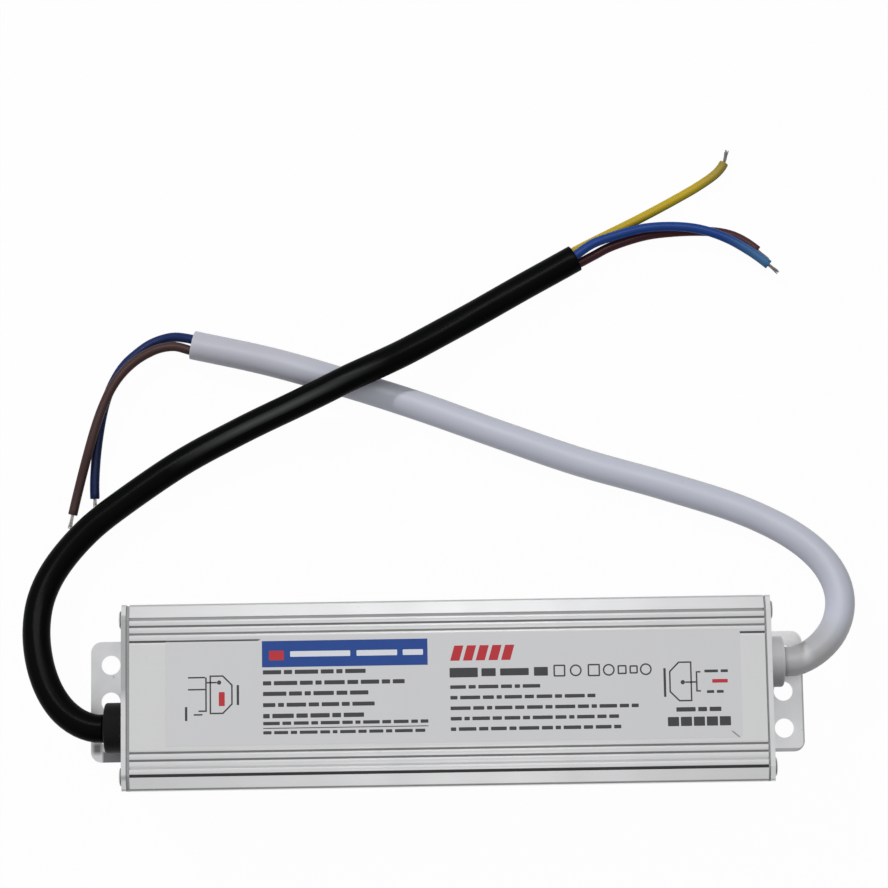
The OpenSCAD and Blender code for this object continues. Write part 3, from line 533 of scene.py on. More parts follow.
def label_film():
    """Matt silver film: lengthwise grain, uneven tone, painted shade where it is pressed into the groove, and
    a small crease near its front right corner, darkened by painted shade.
    """
    finish = Finish("label_film", (0.7, 0.705, 0.715), 0.48, metallic=0.55)
    grain = finish.effect(GRAIN, Stretch=(1, 0.12, 1), Scale=1500, Detail=4)
    cloud = finish.effect(GRAIN, Stretch=(1, 0.05, 1), Scale=70, Detail=2)
    finish.tint(cloud, (0.62, 0.625, 0.64), 0.45).tint(grain, (0.76, 0.76, 0.77), 0.25)
    pressed = finish.fade(finish.place("Z"), FILM_TOP - 0.00005, FILM_TOP - 0.00025)
    # Painted shade where the film is pressed into the groove.
    finish.tint(pressed, (0.04, 0.04, 0.045), 0.7)
    crease = finish.both(
        finish.band(finish.along((0.644, 0.765, 0)), 0.03752, 0.0378, 0.00008),
        finish.band(finish.along((0.765, -0.644, 0)), 0.0614, 0.0638, 0.0003),
    )
    # Painted shade in the crease.
    finish.tint(crease, (0.12, 0.12, 0.125), 0.8)
    return finish.roughen(grain, 0.42, 0.55).relief(grain, 0.00002, 0.25).relief(crease, 0.0001, 0.6)


def printing_ink(name, colour, shade):
    """Ink on the label, slightly uneven."""
    finish = Finish(name, colour, 0.42, Specular_IOR_Level=0.3)
    finish.mottle(shade, 0.6, 0.36, 0.5, Scale=300, Detail=4)
    return finish


def tinned_strands(name, colour, shade):
    """Tinned copper strands, slightly uneven in tone."""
    finish = Finish(name, colour, 0.32, metallic=1)
    finish.mottle(shade, 0.6, 0.25, 0.45, Scale=1200, Detail=3)
    return finish


def board_laminate():
    """Green solder resist over a woven base."""
    finish = Finish("board_laminate", (0.02, 0.13, 0.055), 0.35)
    weave = finish.effect(TURNS, Direction=(0.7071, 0.7071, 0), Pitch=0.0006)
    finish.mottle((0.03, 0.19, 0.08), 0.6, 0.28, 0.45, Scale=220, Detail=4)
    return finish.relief(weave, 0.00002, 0.4)


def insulating_film():
    """Fibrous film of the insulating sheet."""
    finish = Finish("insulating_film", (0.74, 0.72, 0.62), 0.55, Alpha=0.97)
    fibres = finish.mottle((0.62, 0.6, 0.5), 0.5, 0.45, 0.65, Stretch=(0.2, 1, 1), Scale=1100, Detail=5)
    return finish.relief(fibres, 0.00003, 0.3)


def epoxy_case(name, colour, shade, roughness):
    """Moulded or dipped epoxy of a component."""
    finish = Finish(name, colour, roughness)
    flow = finish.mottle(shade, 0.6, roughness - 0.08, roughness + 0.1, Scale=500, Detail=5)
    return finish.relief(flow, 0.00005, 0.4)


def ferrite_finish():
    """Ground ferrite of the cores, with small chips."""
    finish = Finish("ground_ferrite", (0.05, 0.05, 0.055), 0.55, Specular_IOR_Level=0.7)
    grit = finish.effect(GRAIN, Scale=3200, Detail=6)
    chips = finish.effect(MARKS, Scale=800, Threshold=0.66, Softness=0.05)
    finish.tint(grit, (0.085, 0.085, 0.09), 0.7).tint(chips, (0.13, 0.13, 0.13), 0.7)
    return finish.relief(grit, 0.00005, 0.5)


def enamelled_wire():
    """Enamelled copper wire, turn beside turn."""
    finish = Finish("enamelled_wire", (0.5, 0.19, 0.06), 0.3, metallic=0.85)
    turns = finish.effect(TURNS, Direction=(0.05, 0.05, 1), Pitch=0.00055)
    finish.mottle((0.36, 0.12, 0.04), 0.6, 0.22, 0.4, Scale=500, Detail=3)
    return finish.relief(turns, 0.0002, 0.8)


def winding_tape():
    """Yellow film tape round the transformer's winding, lap over lap."""
    finish = Finish("winding_tape", (0.72, 0.58, 0.1), 0.3, Coat_Weight=0.3)
    laps = finish.effect(TURNS, Direction=(1, 0, 0), Pitch=0.004)
    finish.mottle((0.6, 0.46, 0.07), 0.6, 0.22, 0.4, Scale=200, Detail=3)
    return finish.relief(laps, 0.0001, 0.3)


def capacitor_sleeve():
    """Shrunk dark blue sleeve of the round capacitors."""
    finish = Finish("capacitor_sleeve", (0.018, 0.028, 0.1), 0.3)
    cloud = finish.mottle((0.03, 0.045, 0.14), 0.6, 0.22, 0.4, Scale=240, Detail=4)
    return finish.relief(cloud, 0.00005, 0.3)


BLACK_JACKET = black_jacket()
PALE_JACKET = pale_jacket()
BLACK_MOULDING = moulding("black_moulding", (0.0085, 0.0088, 0.0088), (0.0125, 0.0125, 0.0125), 0.4, 0.06)
GREY_MOULDING = grey_moulding()
LIVE_CORE, PLUS_CORE, NEUTRAL_CORE, MINUS_CORE = (core_insulation(*values) for values in (
    ("maroon_core", (0.06, 0.016, 0.021), (0.038, 0.012, 0.015), (0.075, 0.03, 0.032), 0.04),
    ("brown_core", (0.062, 0.033, 0.031), (0.042, 0.024, 0.024), (0.05, 0.028, 0.026), 0.04),
    ("blue_core", (0.012, 0.05, 0.23), (0.009, 0.038, 0.17), (0.055, 0.15, 0.29), 0.044),
    ("dull_blue_core", (0.011, 0.024, 0.1), (0.008, 0.018, 0.07), (0.004, 0.01, 0.045), 0.03),
))
INNER_CORE = epoxy_case("inner_core", (0.09, 0.035, 0.024), (0.06, 0.024, 0.018), 0.4)
EARTH_CORE = earth_insulation()
# Painted shade: the mains strands are tinned copper coloured as if in shade.
SHADED_STRANDS = tinned_strands("shaded_strands", (0.34, 0.33, 0.33), (0.2, 0.19, 0.19))
BRIGHT_STRANDS = tinned_strands("bright_strands", (0.66, 0.65, 0.64), (0.48, 0.47, 0.46))
BLACK_EPOXY = epoxy_case("black_epoxy", (0.018, 0.018, 0.019), (0.03, 0.03, 0.03), 0.5)
BLUE_EPOXY = epoxy_case("blue_epoxy", (0.02, 0.09, 0.33), (0.015, 0.065, 0.25), 0.3)

NODE_FINISHES = {
    extruded_aluminium(): ["housing"],
    sheet_aluminium(): ["input_end_plate", "output_end_plate"],
    milled_aluminium(): ["input_heat_spreader", "output_heat_spreader"],
    plated_steel(): ["input_screws", "output_screws"],
    seal_rubber(): ["input_gasket", "output_gasket"],
    BLACK_JACKET: ["mains_lead_inside"],
    PALE_JACKET: ["output_lead_inside"],
    BLACK_MOULDING: ["mains_strain_relief"],
    GREY_MOULDING: ["output_strain_relief"],
    INNER_CORE: ["mains_inner_cores", "output_inner_cores"],
    board_laminate(): ["circuit_board"],
    insulating_film(): ["insulating_sheet"],
    BLACK_EPOXY: [
        "fuse", "bridge_rectifier", "transformer_bobbin", "switching_transistor", "control_chip",
        "optocoupler", "output_rectifier",
    ],
    BLUE_EPOXY: ["varistor", "y_capacitor"],
    epoxy_case("green_epoxy", (0.04, 0.11, 0.055), (0.03, 0.08, 0.04), 0.32): ["thermistor"],
    epoxy_case("yellow_case", (0.72, 0.5, 0.04), (0.66, 0.44, 0.03), 0.34): ["x_capacitor"],
    ferrite_finish(): ["choke_core", "transformer_core", "output_inductor_core"],
    enamelled_wire(): ["choke_windings", "output_inductor_winding"],
    winding_tape(): ["transformer_winding"],
    capacitor_sleeve(): ["bulk_capacitors", "output_capacitors"],
}


def dress_nodes():
    """Gives every solid of the frame its finish."""
    for finish, names in NODE_FINISHES.items():
        for name in names:
            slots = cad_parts[name].data.materials
            if not slots:
                slots.append(finish.material)
            for i in range(len(slots)):
                slots[i] = finish.material


dress_nodes()


# The leads and their cores

def smooth_line(route, step):
    """Points about step apart on a smooth curve through all of the route's points."""
    points = [Vector(p) for p in route]
    points = [2 * points[0] - points[1], *points, 2 * points[-1] - points[-2]]
    line = []
    for before, start, end, after in zip(points, points[1:], points[2:], points[3:]):
        steps = max(1, round((end - start).length / step))
        line += [curve_point(before, start, end, after, i / steps) for i in range(steps)]
    line.append(points[-2])
    lowest = min(point.z for point in points[1:-1])
    for point in line:
        point.z = max(point.z, lowest)
    return line


def curve_point(before, start, end, after, share):
    """A point between start and end on the smooth curve that also passes before and after."""
    k1 = (start - before).length ** 0.5
    k2 = k1 + (end - start).length ** 0.5
    k3 = k2 + (after - end).length ** 0.5
    k = k1 + share * (k2 - k1)
    first, middle = before.lerp(start, k / k1), start.lerp(end, share)
    last = end.lerp(after, (k - k2) / (k3 - k2))
    return first.lerp(middle, k / k2).lerp(middle.lerp(last, (k - k1) / (k3 - k1)), share)


def lengths_along(line):
    """How far along the line each of its points is."""
    total, places = 0, [0]
    for a, b in zip(line, line[1:]):
        total += (b - a).length
        places.append(total)
    return places


def frames_along(line):
    """Heading, side and top at each point, carried along the line without twist. The first top points up."""
    headings = [(b - a).normalized() for a, b in zip([line[0], *line], [*line[1:], line[-1]])]
    headings[0] = (line[1] - line[0]).normalized()
    side = headings[0].cross(Vector((0, 0, 1))).normalized()
    found = []
    for heading in headings:
        side = (side - heading * side.dot(heading)).normalized()
        found.append((heading, side, side.cross(heading)))
    return found


def add_ring(mesh, station, sides, swell):
    """A ring of points round one station of a tube, which is (point, axes, radius, how far along)."""
    point, (_, side, top), radius, place = station
    ring = []
    for k in range(sides):
        turn = 2 * math.pi * k / sides
        reach = radius * (1 + (swell(place, turn) if swell else 0))
        ring.append(mesh.verts.new(point + reach * (math.cos(turn) * side + math.sin(turn) * top)))
    return ring


def add_wall(mesh, layer, ring, after, places):
    """The faces between two rings, with how far round and how far along each of their corners is."""
    sides = len(ring)
    for k in range(sides):
        following = (k + 1) % sides
        face = mesh.faces.new((ring[k], after[k], after[following], ring[following]))
        face.smooth = True
        corners = ((k, places[0]), (k, places[1]), (k + 1, places[1]), (k + 1, places[0]))
        for loop, (turn, place) in zip(face.loops, corners):
            loop[layer].uv = (turn / sides, place)


def add_tube(mesh, line, profile, sides, swell=None):
    """A closed tube in the mesh. profile is the radius along the line and then the steps of the cut end,
    as (how far past the line's end, radius). swell gives a little extra radius by place and turn."""
    layer = mesh.loops.layers.uv.get(LEAD_MAP) or mesh.loops.layers.uv.new(LEAD_MAP)
    radius, ending = profile
    places, frames = lengths_along(line), frames_along(line)
    stations = [(point, axes, radius, place) for point, axes, place in zip(line, frames, places)]
    heading = frames[-1][0]
    stations += [(line[-1] + heading * past, frames[-1], r, places[-1]) for past, r in ending]
    rings = [add_ring(mesh, station, sides, swell) for station in stations]
    for i, (ring, after) in enumerate(zip(rings, rings[1:])):
        add_wall(mesh, layer, ring, after, (stations[i][3], stations[i + 1][3]))
    mesh.faces.new(rings[0])
    mesh.faces.new(list(reversed(rings[-1])))


def piece_from(mesh, name, finish):
    """Makes an object of the mesh, outward faces, on the one body."""
    bmesh.ops.recalc_face_normals(mesh, faces=mesh.faces[:])
    data = bpy.data.meshes.new(name)
    mesh.to_mesh(data)
    mesh.free()
    piece = bpy.data.objects.new(name, data)
    bpy.context.scene.collection.objects.link(piece)
    data.materials.append(finish.material)
    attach(piece, "root")
    return piece


def jacket_swell(cores, twist):
    """The twisted cores show faintly through their jacket, which sinks a little between them."""
    depth = 0.006
    return lambda place, turn: depth * (math.sin(cores * (turn - 2 * math.pi * place / twist)) - 1)


def make_lead(name, node, route, diameter, cores, finish):
    """A sheathed lead with its cut end, where the jacket's wall shows."""
    r, wall, soft, depth, twist = diameter / 2, 0.00075, 0.0002, 0.003, 0.075
    line = smooth_line(route, 0.0015)
    ending = [(soft * 0.7, r - soft * 0.3), (soft, r - soft), (soft, r - wall), (-depth, r - wall)]
    mesh = bmesh.new()
    add_tube(mesh, line, (r, ending), 32, jacket_swell(cores, twist))
    lead = piece_from(mesh, name, finish)
    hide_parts(node)
    lengths_along(line)[-1]
    return line


def make_strands(name, line, finish):
    """The bare end of a core: six thin tinned wires twisted round a seventh. Some end a step early."""
    strand_r, bundle_r, twist, outer = 0.00014, 0.00027, 0.012, 6
    mesh = bmesh.new()
    places, frames = lengths_along(line), frames_along(line)
    for i in range(outer + 1):
        paths = []
        for point, place, (_, side, top) in zip(line, places, frames):
            turn = 2 * math.pi * (i / outer + place / twist)
            spread = 0 if i == outer else bundle_r * (1 + 0.7 * (place / places[-1]) ** 2)
            paths.append(point + spread * (math.cos(turn) * side + math.sin(turn) * top))
        short = 1 if i % 2 else 0
        add_tube(mesh, paths[:len(paths) - short], (strand_r, [(0.00005, strand_r * 0.6)]), 6)
    return piece_from(mesh, name, finish)


def make_core(name, node, route, lead_line, finish, strand_finish, bare):
    """A core from inside the lead's cut end to where its insulation was stripped, and its bare strands."""
    lead_end, tucked_in = lead_line[-1], 0.0022
    heading = (lead_end - lead_line[-2]).normalized()
    tucked = lead_end + 0.8 * (Vector(route[0]) - lead_end) - tucked_in * heading
    line = smooth_line([tucked, *route], 0.0012)
    places = lengths_along(line)
    stripped = [p for p, place in zip(line, places) if place < places[-1] - bare]
    tip = smooth_line([stripped[-2], stripped[-1], line[-1]], 0.0005)
    r = CORE_D / 2
    mesh = bmesh.new()
    ending = [(0.00012, r - 0.00008), (0.00015, r - 0.0002), (0.00015, r * 0.45), (-0.0003, r * 0.42)]
    add_tube(mesh, stripped, (r, ending), 20)
    core = piece_from(mesh, name, finish)
    strands = make_strands(name + "_strands", tip, strand_finish)
    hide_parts(node)
    lengths_along(stripped)[-1]


mains_line = make_lead(
    "mains_jacket", "mains_sheath", MAINS_ROUTE, MAINS_LEAD_D, 3, BLACK_JACKET
)
output_line = make_lead(
    "output_jacket", "output_sheath", OUTPUT_ROUTE, OUTPUT_LEAD_D, 2, PALE_JACKET
)
for name, node, route, finish, slot in (
    ("earth_wire", "mains_earth_core", MAINS_EARTH_ROUTE, EARTH_CORE, "earth_insulation"),
    ("neutral_wire", "mains_neutral_core", MAINS_NEUTRAL_ROUTE, NEUTRAL_CORE, "blue_insulation"),
    ("live_wire", "mains_live_core", MAINS_LIVE_ROUTE, LIVE_CORE, "brown_insulation"),
):
    make_core(name, node, route, mains_line, finish, SHADED_STRANDS, bare=0.0028)
for name, node, route, finish, slot, bare in (
    ("minus_wire", "output_minus_core", OUTPUT_MINUS_ROUTE, MINUS_CORE, "blue_insulation", 0.0021),
    ("plus_wire", "output_plus_core", OUTPUT_PLUS_ROUTE, PLUS_CORE, "brown_insulation", 0.0038),
):
    make_core(name, node, route, output_line, finish, BRIGHT_STRANDS, bare)


# The label and its print

def start_sheet(name):
    """A new piece for flat shapes, in edit mode with nothing in it yet."""
    bpy.ops.object.select_all(action="DESELECT")
    bpy.ops.mesh.primitive_plane_add(size=MM, location=(0, 0, 0))
    sheet = bpy.context.object
    sheet.name = sheet.data.name = name
    bpy.ops.object.mode_set(mode="EDIT")
    bpy.ops.mesh.select_mode(type="VERT")
    bpy.ops.mesh.select_all(action="SELECT")
    bpy.ops.mesh.delete(type="VERT")
    return sheet


def finish_sheet(sheet, thickness, offset, finish, slot):
    """Gives the flat shapes their thickness, above them at offset 1 or below at -1, and their finish."""
    bpy.ops.object.mode_set(mode="OBJECT")
    wall = sheet.modifiers.new("film", "SOLIDIFY")
    wall.thickness, wall.offset = thickness, offset
    bpy.ops.object.modifier_apply(modifier=wall.name)
    sheet.data.materials.append(finish.material)
    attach(sheet, "root")


def keep_selected(test):
    """Narrows the selection to the vertices whose place passes the test."""
    mesh = bmesh.from_edit_mesh(bpy.context.edit_object.data)
    for vert in mesh.verts:
        vert.select_set(vert.select and test(vert.co))
    mesh.select_flush_mode()
    bmesh.update_edit_mesh(bpy.context.edit_object.data)


def lay_patch(x, y, corner=0):
    """A flat patch on the film over x and y, each as (low, high), whose corners are rounded by corner."""
    bpy.ops.mesh.primitive_plane_add(size=MM, location=(0, 0, 0))
    bpy.ops.transform.resize(value=(x[1] - x[0], y[1] - y[0], 1), center_override=(0, 0, 0))
    bpy.ops.transform.translate(value=((x[0] + x[1]) / 2 * MM, (y[0] + y[1]) / 2 * MM, FILM_TOP))
    if corner:
        bpy.ops.mesh.bevel(offset=corner * MM, segments=3, affect="VERTICES")


def lay_bar(x0, x1, y, height):
    """A bar from x0 to x1 with its middle at y and its corners rounded."""
    lay_patch((x0, x1), (y - height / 2, y + height / 2), corner=min(0.15, height / 4))


def lay_row(x0, x1, y, height, first):
    """A row of short bars from x0 to x1. first says where in the list of lengths it starts."""
    lengths, gap, shortest = (4.4, 2, 5.6, 3.1, 1.5, 4.9, 2.6), 0.65, 0.6
    x, i = x0, first
    while x < x1 - shortest:
        end = min(x1, x + lengths[i % len(lengths)] * height)
        lay_bar(x, end, y, height)
        x, i = end + gap, i + 1


def lay_disc(x, y, radius, sides):
    """A flat disc on the film, with its middle at x and y."""
    bpy.ops.mesh.primitive_circle_add(
        vertices=sides, radius=radius, fill_type="NGON", location=(x * MM, y * MM, FILM_TOP)
    )


def lay_line(x, y, width):
    """A straight line along x or along y, each as (from, to). Its width is laid across it."""
    half = width / 2
    beside_x, beside_y = (x[0] == x[1]) * half, (y[0] == y[1]) * half
    lay_patch((x[0] - beside_x, x[1] + beside_x), (y[0] - beside_y, y[1] + beside_y))


def cut_across(place, direction):
    """Cuts all faces where the plane through place crosses them."""
    bpy.ops.mesh.select_all(action="SELECT")
    bpy.ops.mesh.bisect(plane_co=place, plane_no=direction, threshold=0.000001)


# The inks lie on the film, in the last INK_ROOM of the label's height, and the upper ones over the lower ones
LABEL_LOW, LABEL_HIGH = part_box("label")
INK_ROOM = 0.000015
FILM_TOP = LABEL_HIGH.z - INK_ROOM
BASE_INK, OVER_INK = 0.000009, 0.000014
INK = {
    name: (printing_ink(name + "_ink", colour, shade), "label_" + name + "_ink") for name, colour, shade in (
        ("dark", (0.045, 0.046, 0.05), (0.075, 0.076, 0.08)),
        ("blue", (0.02, 0.068, 0.29), (0.015, 0.05, 0.23)),
        ("red", (0.5, 0.035, 0.045), (0.4, 0.03, 0.04)),
        ("white", (0.7, 0.72, 0.76), (0.6, 0.63, 0.7)),
    )
}

# The print's places, in millimetres from the middle of the case. A bar is (from x, to x, middle y, height),
# a patch is ((from x, to x), (from y, to y)), and a line is a patch without width.
BLUE_PANEL = ((-46.4, -4.75), (7, 13.6))
PALE_BARS_X, PALE_BARS_Y, PALE_BARS_HEIGHT = ((-39.3, -24.2), (-22.6, -12.4), (-11, -5.9)), 10.25, 1.4
BAR_ON_PANEL, BAR_AT_RIGHT = (-44.6, -40.9, 9.95, 2.4), (66.6, 70.5, 1.8, 0.9)
BLOCKS_IN_A_ROW = 5
FIRST_RED_BLOCK, RED_BLOCK_PITCH, RED_BLOCK_LEAN = ((0.9, 3.2), (7.9, 11.7)), 3.2, 1.1
PATCH_IN_INLET = ((-57.3, -55.8), (-2.5, 1))
DARK_ROWS = (
    (-46.2, -20.2, 5.75, 1.05), (-46.2, -10.6, 3, 1.05), (-46.2, -19.2, 0.35, 1.05),
    (-46.2, -17, -2.45, 1), (-46.2, -20.9, -5.2, 1.1), (-46.2, -4.8, -7.05, 0.85),
    (-46.2, -4.8, -9.35, 0.8), (0.8, 24.2, 1.3, 0.9), (0.8, 37.2, -1.35, 0.9), (0.8, 48, -4, 0.9),
    (0.8, 43, -6.6, 0.9), (0.8, 44.1, -9.2, 0.9), (64.7, 70.6, 4.3, 0.7), (65.2, 69.4, -0.85, 0.7),
    (57.4, 68.7, -5.2, 1.1),
)
UNDERLINE = (-46.2, -4.8, -8.25, 0.22)
MIDDLE_BLOCKS = ((0.7, 7.8, 2.4), (8.7, 12.3, 2), (13.4, 20.6, 1.8), (21.9, 25.4, 2.2))
MIDDLE_BLOCKS_Y = 4.9
RIGHT_BLOCKS_X, RIGHT_BLOCKS_Y, RIGHT_BLOCK_PITCH, RIGHT_BLOCK_SIZE = 55.2, -8.2, 3.25, (2.8, 2.3)
UPRIGHT_BARS, UPRIGHT_BARS_WIDTH = ((-52.5, -2.3, 2.7), (54.7, -2, 5.2), (-65.5, -6.1, -2.6)), 0.6
INLETS = (((-59.6, -53.8), (-4.5, 5.2), 1), ((55.8, 61.5), (-3.2, 6.8), -1))
OUTLINED_SQUARES = ((26.8, 3), (35.4, 3.1), (42.9, 2.3), (45.9, 2.1))
OUTLINED_CIRCLES_X, OUTLINED_Y = (32.4, 40.7, 50), 5
INLET_DOTS = ((-57.2, 3.4), (59.2, 1.6))
WIRE_LINES = (
    ((-60.5, -60.5), (-3.9, 4.7)), ((-65, -60.7), (4.7, 4.7)), ((-65, -60.7), (1.7, 1.7)),
    ((-62.4, -60.7), (-3.7, -3.7)), ((-60.3, -57.8), (3.4, 3.4)), ((-63.6, -61.4), (-4.6, -4.6)),
    ((62.7, 62.7), (-0.8, 4.3)), ((62.9, 63.7), (4.14, 4.14)), ((62.9, 63.7), (-0.64, -0.64)),
    ((59.8, 62.5), (1.6, 1.6)),
)


def make_label():
    """The label's film: rounded corners, and pressed into the rear groove along its left stretch."""
    length, width = LABEL_HIGH.x - LABEL_LOW.x, LABEL_HIGH.y - LABEL_LOW.y
    pressed_to, groove_y = -0.0475, 0.0139
    label = start_sheet("silver_label")
    bpy.ops.mesh.primitive_plane_add(size=1, location=(0, 0, 0))
    bpy.ops.transform.resize(value=(length, width, 1), center_override=(0, 0, 0))
    bpy.ops.transform.translate(value=(
        (LABEL_LOW.x + LABEL_HIGH.x) / 2, (LABEL_LOW.y + LABEL_HIGH.y) / 2, FILM_TOP
    ))
    bpy.ops.mesh.bevel(offset=0.0008, segments=4, affect="VERTICES")
    for reach in (-0.0006, -0.00025, 0, 0.00025, 0.0006):
        cut_across((0, groove_y + reach, FILM_TOP), (0, 1, 0))
    for x in (pressed_to, pressed_to + 0.0009):
        cut_across((x, 0, FILM_TOP), (1, 0, 0))
    for low, high, depth in (
        (-0.00026, -0.00024, 0.00005), (-0.00001, 0.00001, 0.0004),
        (0.00005, 0.0002, 0.0002), (0.00024, 0.00026, 0.00005),
    ):
        bpy.ops.mesh.select_all(action="SELECT")
        keep_selected(lambda place: place.x < pressed_to + 0.0001 and low < place.y - groove_y < high)
        bpy.ops.transform.translate(value=(0, 0, -depth))
    finish_sheet(label, FILM_TOP - LABEL_LOW.z, -1, label_film(), "label_film")
    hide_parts("label")


def make_panels():
    """The blue panel near the label's rear left, with pale bars over it."""
    panel = start_sheet("blue_panel")
    lay_patch(*BLUE_PANEL, corner=0.1)
    finish_sheet(panel, BASE_INK, 1, *INK["blue"])
    pale = start_sheet("pale_bars")
    for x0, x1 in PALE_BARS_X:
        lay_bar(x0, x1, PALE_BARS_Y, PALE_BARS_HEIGHT)
    finish_sheet(pale, OVER_INK, 1, *INK["white"])


def make_red_marks():
    """A red bar on the blue panel, a row of leaning red blocks beside it, and two small red marks."""
    red = start_sheet("red_bars")
    lay_bar(*BAR_ON_PANEL)
    (start, end), (front, rear) = FIRST_RED_BLOCK
    for i in range(BLOCKS_IN_A_ROW):
        lay_patch((start + RED_BLOCK_PITCH * i, end + RED_BLOCK_PITCH * i), (front, rear))
        keep_selected(lambda place: place.y > (rear - 0.1) * MM)
        bpy.ops.transform.translate(value=(RED_BLOCK_LEAN * MM, 0, 0))
    lay_bar(*BAR_AT_RIGHT)
    lay_patch(*PATCH_IN_INLET, corner=0.2)
    finish_sheet(red, OVER_INK, 1, *INK["red"])


def make_dark_rows():
    """Rows of short dark bars, an underline, plain dark blocks and three upright bars."""
    rows = start_sheet("dark_rows")
    for i, (x0, x1, y, height) in enumerate(DARK_ROWS):
        lay_row(x0, x1, y, height, i)
    lay_bar(*UNDERLINE)
    for x0, x1, height in MIDDLE_BLOCKS:
        lay_bar(x0, x1, MIDDLE_BLOCKS_Y, height)
    for i in range(BLOCKS_IN_A_ROW):
        x0 = RIGHT_BLOCKS_X + RIGHT_BLOCK_PITCH * i
        lay_bar(x0, x0 + RIGHT_BLOCK_SIZE[0], RIGHT_BLOCKS_Y, RIGHT_BLOCK_SIZE[1])
    half = UPRIGHT_BARS_WIDTH / 2
    for x, y0, y1 in UPRIGHT_BARS:
        lay_patch((x - half, x + half), (y0, y1), corner=0.12)
    finish_sheet(rows, BASE_INK, 1, *INK["dark"])


def make_line_drawings():
    """Line drawings of the two inlets with their wires, and a row of plain outlined shapes."""
    drawings = start_sheet("line_drawings")
    line_width = 0.38
    for x, y, side in INLETS:
        lay_patch(x, y)
        middle = (x[0] + x[1]) / 2 * MM
        keep_selected(lambda place: (place.x - middle) * side > 0)
        bpy.ops.mesh.bevel(offset=0.0024, segments=1, affect="VERTICES")
    for x, size in OUTLINED_SQUARES:
        lay_patch((x, x + size), (OUTLINED_Y - size / 2, OUTLINED_Y + size / 2), corner=0.3)
    for x in OUTLINED_CIRCLES_X:
        lay_disc(x, OUTLINED_Y, radius=0.0015, sides=24)
    bpy.ops.mesh.select_all(action="SELECT")
    bpy.ops.mesh.inset(thickness=line_width * MM, use_individual=True)
    bpy.ops.mesh.delete(type="FACE")
    for x, y in INLET_DOTS:
        lay_disc(x, y, radius=0.00055, sides=20)
    for x, y in WIRE_LINES:
        lay_line(x, y, line_width)
    finish_sheet(drawings, BASE_INK, 1, *INK["dark"])


make_label()
make_panels()
make_red_marks()
make_dark_rows()
make_line_drawings()


# The floor and the light

def lay_floor():
    """A plain near-white floor just below the feet. It reads white to the camera and keeps a faint shadow."""
    bpy.ops.object.select_all(action="DESELECT")
    bpy.ops.mesh.primitive_plane_add(size=8, location=(0, 0, -0.0003))
    floor = bpy.context.object
    floor.name = "floor"
    paper = bpy.data.materials.new("white_paper")
    paper.use_nodes = True
    tree = paper.node_tree
    surface = tree.nodes["Principled BSDF"]
    surface.inputs["Base Color"].default_value = (0.6, 0.6, 0.6, 1)
    surface.inputs["Roughness"].default_value = 0.9
    surface.inputs["Specular IOR Level"].default_value = 0
    glow = tree.nodes.new("ShaderNodeEmission")
    glow.inputs["Strength"].default_value = 1
    rays = tree.nodes.new("ShaderNodeLightPath").outputs
    seen = calculate(tree, "MAXIMUM", rays["Is Camera Ray"], rays["Is Transmission Ray"])
    shown = calculate(tree, "MAXIMUM", seen, rays["Is Glossy Ray"])
    blend = tree.nodes.new("ShaderNodeMixShader")
    for source, socket in (
        (calculate(tree, "MULTIPLY", shown, 0.975), blend.inputs[0]),
        (surface.outputs[0], blend.inputs[1]),
        (glow.outputs[0], blend.inputs[2]),
        (blend.outputs[0], tree.nodes["Material Output"].inputs["Surface"]),
    ):
        tree.links.new(source, socket)
    floor.data.materials.append(paper)


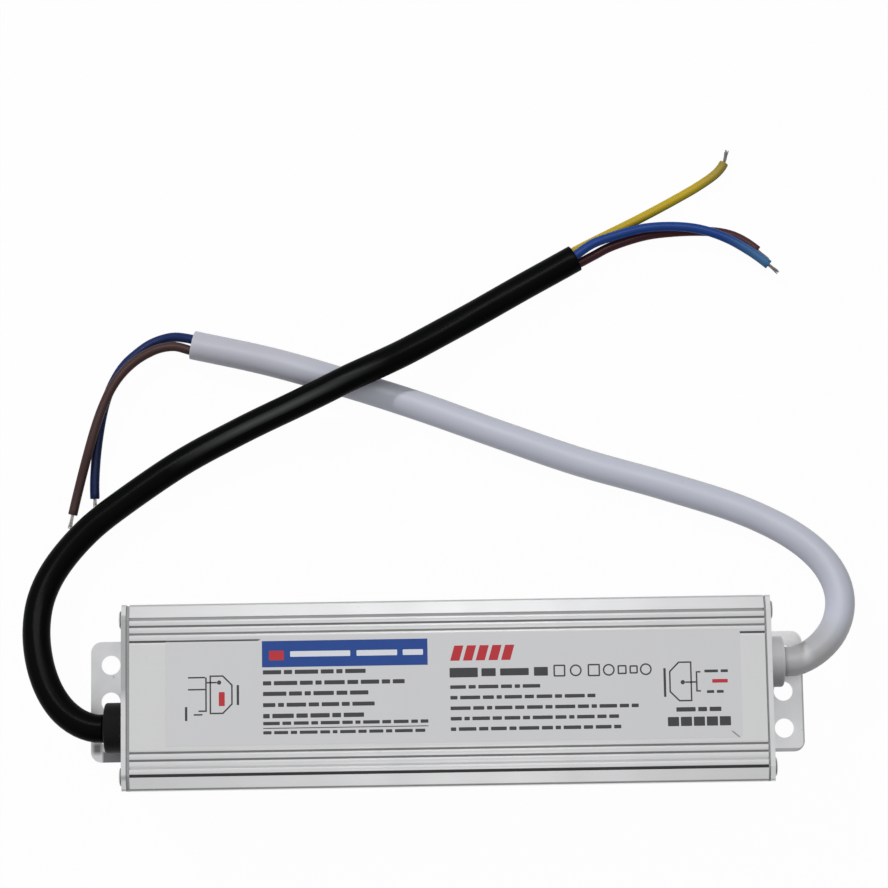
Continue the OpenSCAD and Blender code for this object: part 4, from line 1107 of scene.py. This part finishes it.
def fill_room():
    """A hazy white room, brightest overhead and darkest to the front and near the horizon."""
    world = bpy.data.worlds.new("studio")
    bpy.context.scene.world = world
    world.use_nodes = True
    tree = world.node_tree
    direction = tree.nodes.new("ShaderNodeTexCoord").outputs["Generated"]
    x, y, z = (one_axis(tree, direction, axis) for axis in "XYZ")
    from_front = grey_ramp(tree, remap(tree, y, -1, 1), (
        (0, 0.1), (0.1, 0.4), (0.2, 0.66), (0.36, 0.74), (0.52, 0.815), (0.68, 0.77), (0.84, 0.78), (1, 0.62),
    ))
    haze = remap(tree, z, 0, 0.6, 0.35, 1)
    middle = remap(tree, calculate(tree, "ABSOLUTE", x), 0, 0.4, 1.08, 0.88)
    share = calculate(tree, "MULTIPLY", haze, middle)
    light = calculate(tree, "MULTIPLY", from_front, share, kind="VectorMath", result="Vector")
    tree.links.new(light, tree.nodes["Background"].inputs["Color"])


def place_lamps():
    """A fairly crisp lamp from the rear left, two panels that only show as gloss, and a strip
    that only the leads and cores mirror."""
    middle_of_top = (0, 0, 0.028)
    add_lamp("key", (-1.02, 1.28, 1.28), (0, 0.05, 0), size=0.13, energy=21, as_gloss=False)
    add_lamp("rear_panel", (0, 0.37, 0.33), middle_of_top, size=0.07, energy=0.11)
    add_lamp("front_panel", (0, -0.28, 0.4), middle_of_top, size=0.12, energy=0.08)
    leads_strip = add_lamp("leads_strip", (0, 0.3, 0.52), (0, 0.06, 0), size=(0.6, 0.12), energy=4.6)
    leads = bpy.data.collections.new("leads")
    for name in (
        "mains_jacket", "output_jacket", "earth_wire", "neutral_wire", "live_wire", "minus_wire", "plus_wire",
    ):
        leads.objects.link(bpy.data.objects[name])
    leads_strip.light_linking.receiver_collection = leads


def add_lamp(name, place, aim, size, energy, as_gloss=True):
    """A lamp that faces aim: round, or a strip where size is a pair. It adds gloss alone, or else none."""
    light = bpy.data.lights.new(name, "AREA")
    light.energy = energy
    if isinstance(size, tuple):
        light.shape = "RECTANGLE"
        light.size, light.size_y = size
    else:
        light.shape, light.size = "DISK", size
    lamp = bpy.data.objects.new(name, light)
    lamp.location = place
    lamp.rotation_euler = (Vector(aim) - Vector(place)).to_track_quat("-Z", "Y").to_euler()
    lamp.visible_glossy = as_gloss
    lamp.visible_diffuse = lamp.visible_camera = not as_gloss
    bpy.context.scene.collection.objects.link(lamp)
    return lamp


lay_floor()
fill_room()
place_lamps()
bpy.context.scene.view_settings.view_transform = "Standard"
